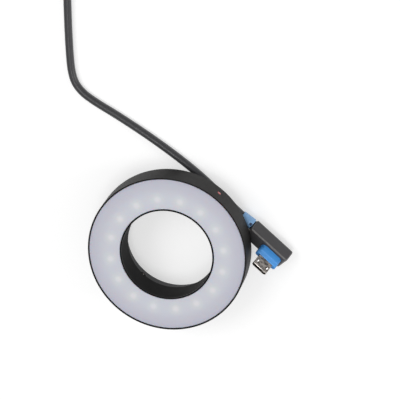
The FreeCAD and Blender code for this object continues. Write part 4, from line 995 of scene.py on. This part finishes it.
# The plug's core: a black plastic block pressed into the shell, with a slit mouth for five gold strips,
# which keep their solids, and two ways and a bridge for the latch.
CORE_INSET = 0.28
CORE_BEND = 0.1
CORE_END = 11.035
CORE_MOUTH = (3.7, 0.72, 0.12, FOOT_PLACE, -0.15)
CORE_MOUTH_FLOOR = 6.735
LATCH_WAY = (0.96, 0.02)
LATCH_WAY_UP = 0.29
BRIDGE_TOP = 5.565
PAST_CORE = 13

core = raised("plug_core", shell_corners(CORE_INSET, CORE_BEND), MOUTH_FLOOR, CORE_END, PLUG, soft=0.06)
tools = [raised("core_mouth", rounded_box(*CORE_MOUTH), CORE_MOUTH_FLOOR, PAST_CORE, PLUG)]
for side in (-LATCH_ASIDE, LATCH_ASIDE):
    way = rounded_box(SLOT_SIZE[0], *LATCH_WAY, FOOT_PLACE + side, LATCH_WAY_UP)
    tools.append(raised("arm_way", way, 4, PAST_CORE, PLUG))
bridge = rounded_box(2 * LATCH_ASIDE, *LATCH_WAY, FOOT_PLACE, LATCH_WAY_UP)
tools.append(raised("bridge_way", bridge, 4, BRIDGE_TOP, PLUG))
combined(core, tools)
fitted(core, core_black, "light", "insert_black", "plug_insert")
carried("plug_contacts", gold)

# The latch: one stamping of spring steel, a root bar with two arms whose hooks stand up through the shell's
# slots. It sits in the core and gives at its root, so it rides alone.
SIDEWAYS = Matrix(((0, 0, 1, 0), (1, 0, 0, 0), (0, 1, 0, 0), (0, 0, 0, 1)))
LATCH_ROOT = 5.105
LATCH_SHEET = 0.22
LATCH_UP = 0.42
ARM_HALF = 0.3
HOOK = [
    (0.31, LATCH_ROOT), (0.31, 10.305, 0.05), (0.53, 10.305, 0.05), (1.25, 9.65, 0.1), (1.25, 9.42, 0.08),
    (0.53, 9.205, 0.1), (0.53, LATCH_ROOT),
]

root_bar = rounded_box(2 * LATCH_ASIDE, LATCH_SHEET, 0.05, FOOT_PLACE, LATCH_UP)
spring = raised("latch_stamping", root_bar, LATCH_ROOT, LATCH_ROOT + LATCH_SHEET, PLUG)
arms = []
for side in (-LATCH_ASIDE, LATCH_ASIDE):
    arm = PLUG @ Matrix.Translation((FOOT_PLACE + side, 0, 0)) @ SIDEWAYS
    arms.append(raised("arm", HOOK, -ARM_HALF, ARM_HALF, arm, soft=0.04, soft_low=0.04))
combined(spring, arms, "UNION")
spring_steel = plated("spring_steel", (0.45, 0.44, 0.43), 0.3, line=0.04, rub_and_highlight=((0.7, 0.69, 0.67), 0.5, 0.1))
fitted(spring, spring_steel, "latch", "latch_steel", "latch_spring")

# The strain relief: a paler blue moulding that tapers on to the cord, held in the grip by a neck whose gap
# is darkened with painted shade, with the small round mark of its mould near the root, its dimple painted
# darker as shade.
RELIEF_PLACE = (-GRIP_LONG / 2, 1.36, -0.9)
RELIEF = PLUG @ Matrix.Translation(RELIEF_PLACE) @ rotated(-90, "Y")
RELIEF_NECK = 0.4
RELIEF_OUTLINE = [
    (0, -0.6), (2.0, -0.6), (2.05, RELIEF_NECK, 0.05), (2.5, RELIEF_NECK, 0.2), (1.95, 6.0, 0.25),
    (1.62, 6.0, 0.1), (1.62, 5.2), (0, 5.2),
]
MARK_TURN = 46
MARK_PLACE = (1.5, 0, 1.15)
MARK_OUTLINE = [(0, 0), (0.5, 0, 0.1), (0.58, 0.78), (0.7, 0.95), (0.7, 2), (0, 2)]
MARK_MIDDLE = (0, 0, 0.2)
MARK_FADE = (0.65, 0.9)
MARK_PAINTED_SHADE = (0.02, 0.075, 0.21)
NECK_FADE = (-0.06, 0.04)
NECK_PAINTED_SHADE = (0.012, 0.015, 0.022)

relief = spun("relief_taper", RELIEF_OUTLINE, 64, RELIEF)
mark = RELIEF @ rotated(MARK_TURN, "Z") @ Matrix.Translation(MARK_PLACE) @ rotated(90, "Y")
combined(relief, [spun("mark", MARK_OUTLINE, 32, mark)])
relief_blue = moulded("relief_blue_skin", (0.27, 0.5, 0.82), 0.42, grain=0.3, depth=0.006, blotch=0.12,
                      rub_and_highlight=((0.3, 0.55, 0.9), 0.4, 0.3))
relief_tree = relief_blue.node_tree
relief_place = object_place(relief_tree)
relief_way = RELIEF.to_3x3() @ Vector((0, 0, 1))
neck_end = relief_way.dot(RELIEF.translation) + RELIEF_NECK
along_relief = measured(relief_tree, "DOT_PRODUCT", relief_place, relief_way)
# Painted shade in the gap at the neck.
neck = faded(relief_tree, along_relief, neck_end + NECK_FADE[0], neck_end + NECK_FADE[1])
tinted(relief_blue, neck, NECK_PAINTED_SHADE)
# Painted shade in the mould mark's dimple.
mark_reach = measured(relief_tree, "DISTANCE", relief_place, (mark @ Vector(MARK_MIDDLE)) * MM)
tinted(relief_blue, faded(relief_tree, mark_reach, *MARK_FADE), MARK_PAINTED_SHADE)
fitted(relief, relief_blue, "light", "relief_blue", "strain_relief")

# The lead: 1.0 m of 3.2 mm round cord with a smooth soft jacket, which runs behind the rim, bends away
# across the ground and lies in its coil of two layers. One curve stands for its three solids.
CORD_RADIUS = 1.6
CORD_POINTS = [
    (27.61, 13.43, 4.37), (21.19, 19.01, 4.37), (9.4, 29.1, 2.2), (-7.6, 40.9, 1.65), (-23.6, 50.7, 1.65),
    (-33.0, 55.8, 1.65), (-39.3, 60.0, 1.65), (-42.9, 65.6, 1.65), (-43.9, 77.0, 1.65), (-44.4, 98.0, 1.65),
    (-44.1, 116.0, 2.25), (-44.1, 126.0, 2.25),
]
COIL_MIDDLE = (-19.2, 132.0)
COIL_RADIUS = 24.9
COIL_PITCH = 3.7
COIL_LOW = 2.25
COIL_RISE = 3.65
COIL_TURNS = 7.25
CLIMB_START = 3.5
CLIMB_TURNS = 0.5
POINTS_A_TURN = 12
TAIL_POINTS = [(-9.5, 155.97, 5.9), (-0.6, 154.77, 4.9), (8.0, 152.57, 3.9), (14.3, 150.77, 3.9)]


def spline_of(points):
    """Curve data with one smooth open line, drawn towards these control points in millimetres."""
    curve = bpy.data.curves.new("line", "CURVE")
    curve.dimensions = "3D"
    spline = curve.splines.new("NURBS")
    spline.points.add(len(points) - 1)
    for slot, point in zip(spline.points, points):
        slot.co = (*(Vector(point) * MM), 1)
    spline.order_u = 3
    spline.use_endpoint_u = True
    spline.resolution_u = 8
    return curve


coil_points = []
reversal = CLIMB_START + CLIMB_TURNS / 2
inner = COIL_RADIUS - COIL_PITCH * reversal
for step in range(int(COIL_TURNS * POINTS_A_TURN)):
    turns = (step + 0.5) / POINTS_A_TURN
    radius = (inner + COIL_PITCH * abs(turns - reversal)) / math.cos(math.pi / POINTS_A_TURN)
    climbed = min(max((turns - CLIMB_START) / CLIMB_TURNS, 0), 1)
    angle = math.pi - math.tau * turns
    coil_points.append((COIL_MIDDLE[0] + radius * math.cos(angle), COIL_MIDDLE[1] + radius * math.sin(angle),
                        COIL_LOW + COIL_RISE * climbed))
cord_line = spline_of(CORD_POINTS + coil_points + TAIL_POINTS)
cord_line.bevel_depth = CORD_RADIUS * MM
cord_line.bevel_resolution = 6
cord_line.use_fill_caps = True
cord = shown("cord", cord_line)
cord_line.materials.append(moulded("cord_jacket", (0.044, 0.044, 0.048), 0.35, grain=0.5, depth=0.02,
                                   Sheen_Weight=0.15, Sheen_Roughness=0.5))
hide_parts("cord_run", "cord_coil", "cord_tail")
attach(cord, "light")

# The tie: a soft black strip, wound once round the coil's bundle and closed on itself on top, with the
# close pile of hook-and-loop tape.
TIE_THICK = 0.6
TIE_WIDE = 4.0
TIE_LOOP = [(9.505, 0.3, 2.2), (25.3, 0.3, 2.2), (25.3, 8.15, 2.2), (9.505, 8.15, 2.2)]
TIE_SECTION = rounded_box(TIE_THICK, TIE_WIDE, 0.18)
TIE_END = [(13.2, -1.95, 0.3), (21.4, -1.95, 1.2), (21.4, 1.95, 1.2), (13.2, 1.95, 0.3)]
TIE_END_LEVELS = (8.4, 8.8)
coil_frame = Matrix.Translation((*COIL_MIDDLE, 0))


def strip_rings(line, section):
    """Sections of a flat strip along a closed line in the plane, each square to the line's way there."""
    rings = []
    for place, here in enumerate(line):
        way = (line[(place + 1) % len(line)] - line[place - 1]).normalized()
        side = Vector((way.y, -way.x))
        rings.append([(here.x + side.x * across, here.y + side.y * across, wide) for across, wide in section])
    return rings


tie = skinned("cord_tie_strip", strip_rings(softened(TIE_LOOP, steps=8), softened(TIE_SECTION, 2)),
              coil_frame @ rotated(90, "X"), closed=True)
combined(tie, [raised("tie_end", TIE_END, *TIE_END_LEVELS, coil_frame, soft=0.12)], "UNION")
tie_black = moulded("tie_pile", (0.028, 0.028, 0.03), 0.8, grain=0.28, depth=0.09, blotch=0.4,
                    Sheen_Weight=0.4)
fitted(tie, tie_black, "light", "tie_black", "cord_tie")

# The plug at the far end: a ribbed relief and a flat soft-edged grip in the same grey, a folded shell with
# four latch windows, and a white core that carries four gold strips.
TAIL_WAY = [last - before for before, last in zip(*TAIL_POINTS[-2:])]
FAR_TURN = math.degrees(math.atan2(TAIL_WAY[1], TAIL_WAY[0]))
FAR = Matrix.Translation(TAIL_POINTS[-1]) @ rotated(FAR_TURN, "Z")
RIB_START = 2.1
RIB_GROWTH = 1.1
RIB_DEPTH = 0.4
RELIEF_LONG = 9
RELIEF_SUNK = 0.3
RIBS = 3
RIB_SHAPE = [(0.4, 0), (0.47, 1), (0.73, 1), (0.8, 0)]
FAR_GRIP = (26.0, 15.6, 2.2)
FAR_GRIP_HALF = 3.9
FAR_GRIP_ROUND = 1.4
FAR_GRIP_MIDDLE = 22.0
PARTING_SECTION = [(0.3, -0.09), (0.3, 0.09), (-0.12, 0.03), (-0.12, -0.03)]
FAR_SHELL = (12.0, 4.5)
FAR_SHELL_START = 34.0
FAR_SHELL_END = 47.0
FAR_SHELL_STEPS = [
    (FAR_SHELL_START, 0), (46.6, 0), (FAR_SHELL_END, 0.06), (FAR_SHELL_END, 0.24), (46.5, 0.3),
    (FAR_SHELL_START, 0.3),
]
FAR_OUTER_BEND = 0.45
FAR_INNER_BEND = 0.2
WINDOW_ASIDE = 2.75
LATCH_WINDOW = (2.2, 2.2, 0.2, 40.2)
FAR_SEAM = (12.5, 0.09, 0.02, 41.0, 0)
FAR_SEAM_REACH = (-2.4, -2.15)
FAR_CORE = (1.9, 11.34, 0.2, -0.97, 0)
FAR_CORE_REACH = (34.5, 46.2)

rib_outline = [(0, 0), (RIB_START, 0, 0.2)]
for rib in range(RIBS):
    for part, dip in RIB_SHAPE:
        share = (rib + part) / (RIBS + 1)
        rib_outline.append((RIB_START + RIB_GROWTH * share - RIB_DEPTH * dip, RELIEF_LONG * share, 0.08))
rib_outline += [(RIB_START + RIB_GROWTH, RELIEF_LONG + RELIEF_SUNK), (0, RELIEF_LONG + RELIEF_SUNK)]
far_turned = FAR @ rotated(90, "Y")
far_relief = spun("far_relief_ribs", rib_outline, 64, far_turned)
# The far grip's grey, with the same painted highlight along its rounded edges.
far_grey = soft_grey("far_grip_grey", FAR)
fitted(far_relief, far_grey, "light", "grip_grey", "usb_relief")
far_grip = soft_block("far_grip_block", *FAR_GRIP, FAR_GRIP_HALF, FAR_GRIP_ROUND, FAR, FAR_GRIP_MIDDLE)
width, height, corner = FAR_GRIP
seam_rings = []
for reach, level in PARTING_SECTION:
    outline = rounded_box(width + 2 * reach, height + 2 * reach, corner + reach, FAR_GRIP_MIDDLE)
    seam_rings.append([(x, y, level) for x, y in softened(outline)])
combined(far_grip, [skinned("parting_line", seam_rings, FAR, closed=True)])
fitted(far_grip, far_grey, "light", "grip_grey", "usb_grip")
far_rings = []
width, height = FAR_SHELL
for reach, inset in FAR_SHELL_STEPS:
    bend = FAR_OUTER_BEND if inset < 0.1 else FAR_INNER_BEND
    outline = rounded_box(width - 2 * inset, height - 2 * inset, bend)
    far_rings.append([(reach, x, y) for x, y in softened(outline)])
far_shell = skinned("far_shell_folded", far_rings, FAR, closed=True)
tools = [raised("far_seam", rounded_box(*FAR_SEAM), *FAR_SEAM_REACH, FAR)]
for side in (-WINDOW_ASIDE, WINDOW_ASIDE):
    tools.append(raised("window", rounded_box(*LATCH_WINDOW, side), -3, 3, FAR))
combined(far_shell, tools)
far_nickel = plated("far_nickel", (0.62, 0.61, 0.59), 0.22, rub_and_highlight=((0.85, 0.84, 0.82), 0.6, 0.2))
fitted(far_shell, far_nickel, "light", "plug_steel", "usb_shell")
far_tongue = raised("far_core", rounded_box(*FAR_CORE), *FAR_CORE_REACH, far_turned, soft=0.25)
core_white = moulded("core_white", (0.8, 0.8, 0.78), 0.4, grain=0.2, depth=0.003, blotch=0.05)
fitted(far_tongue, core_white, "light", "usb_white", "usb_tongue")
carried("usb_contacts", gold)
on_the_cord = [grip, foot, plug_shell, core, spring, relief, tie, far_relief, far_grip, far_shell, far_tongue]
on_the_cord += [frame["nodes"]["plug_contacts"], frame["nodes"]["usb_contacts"]]
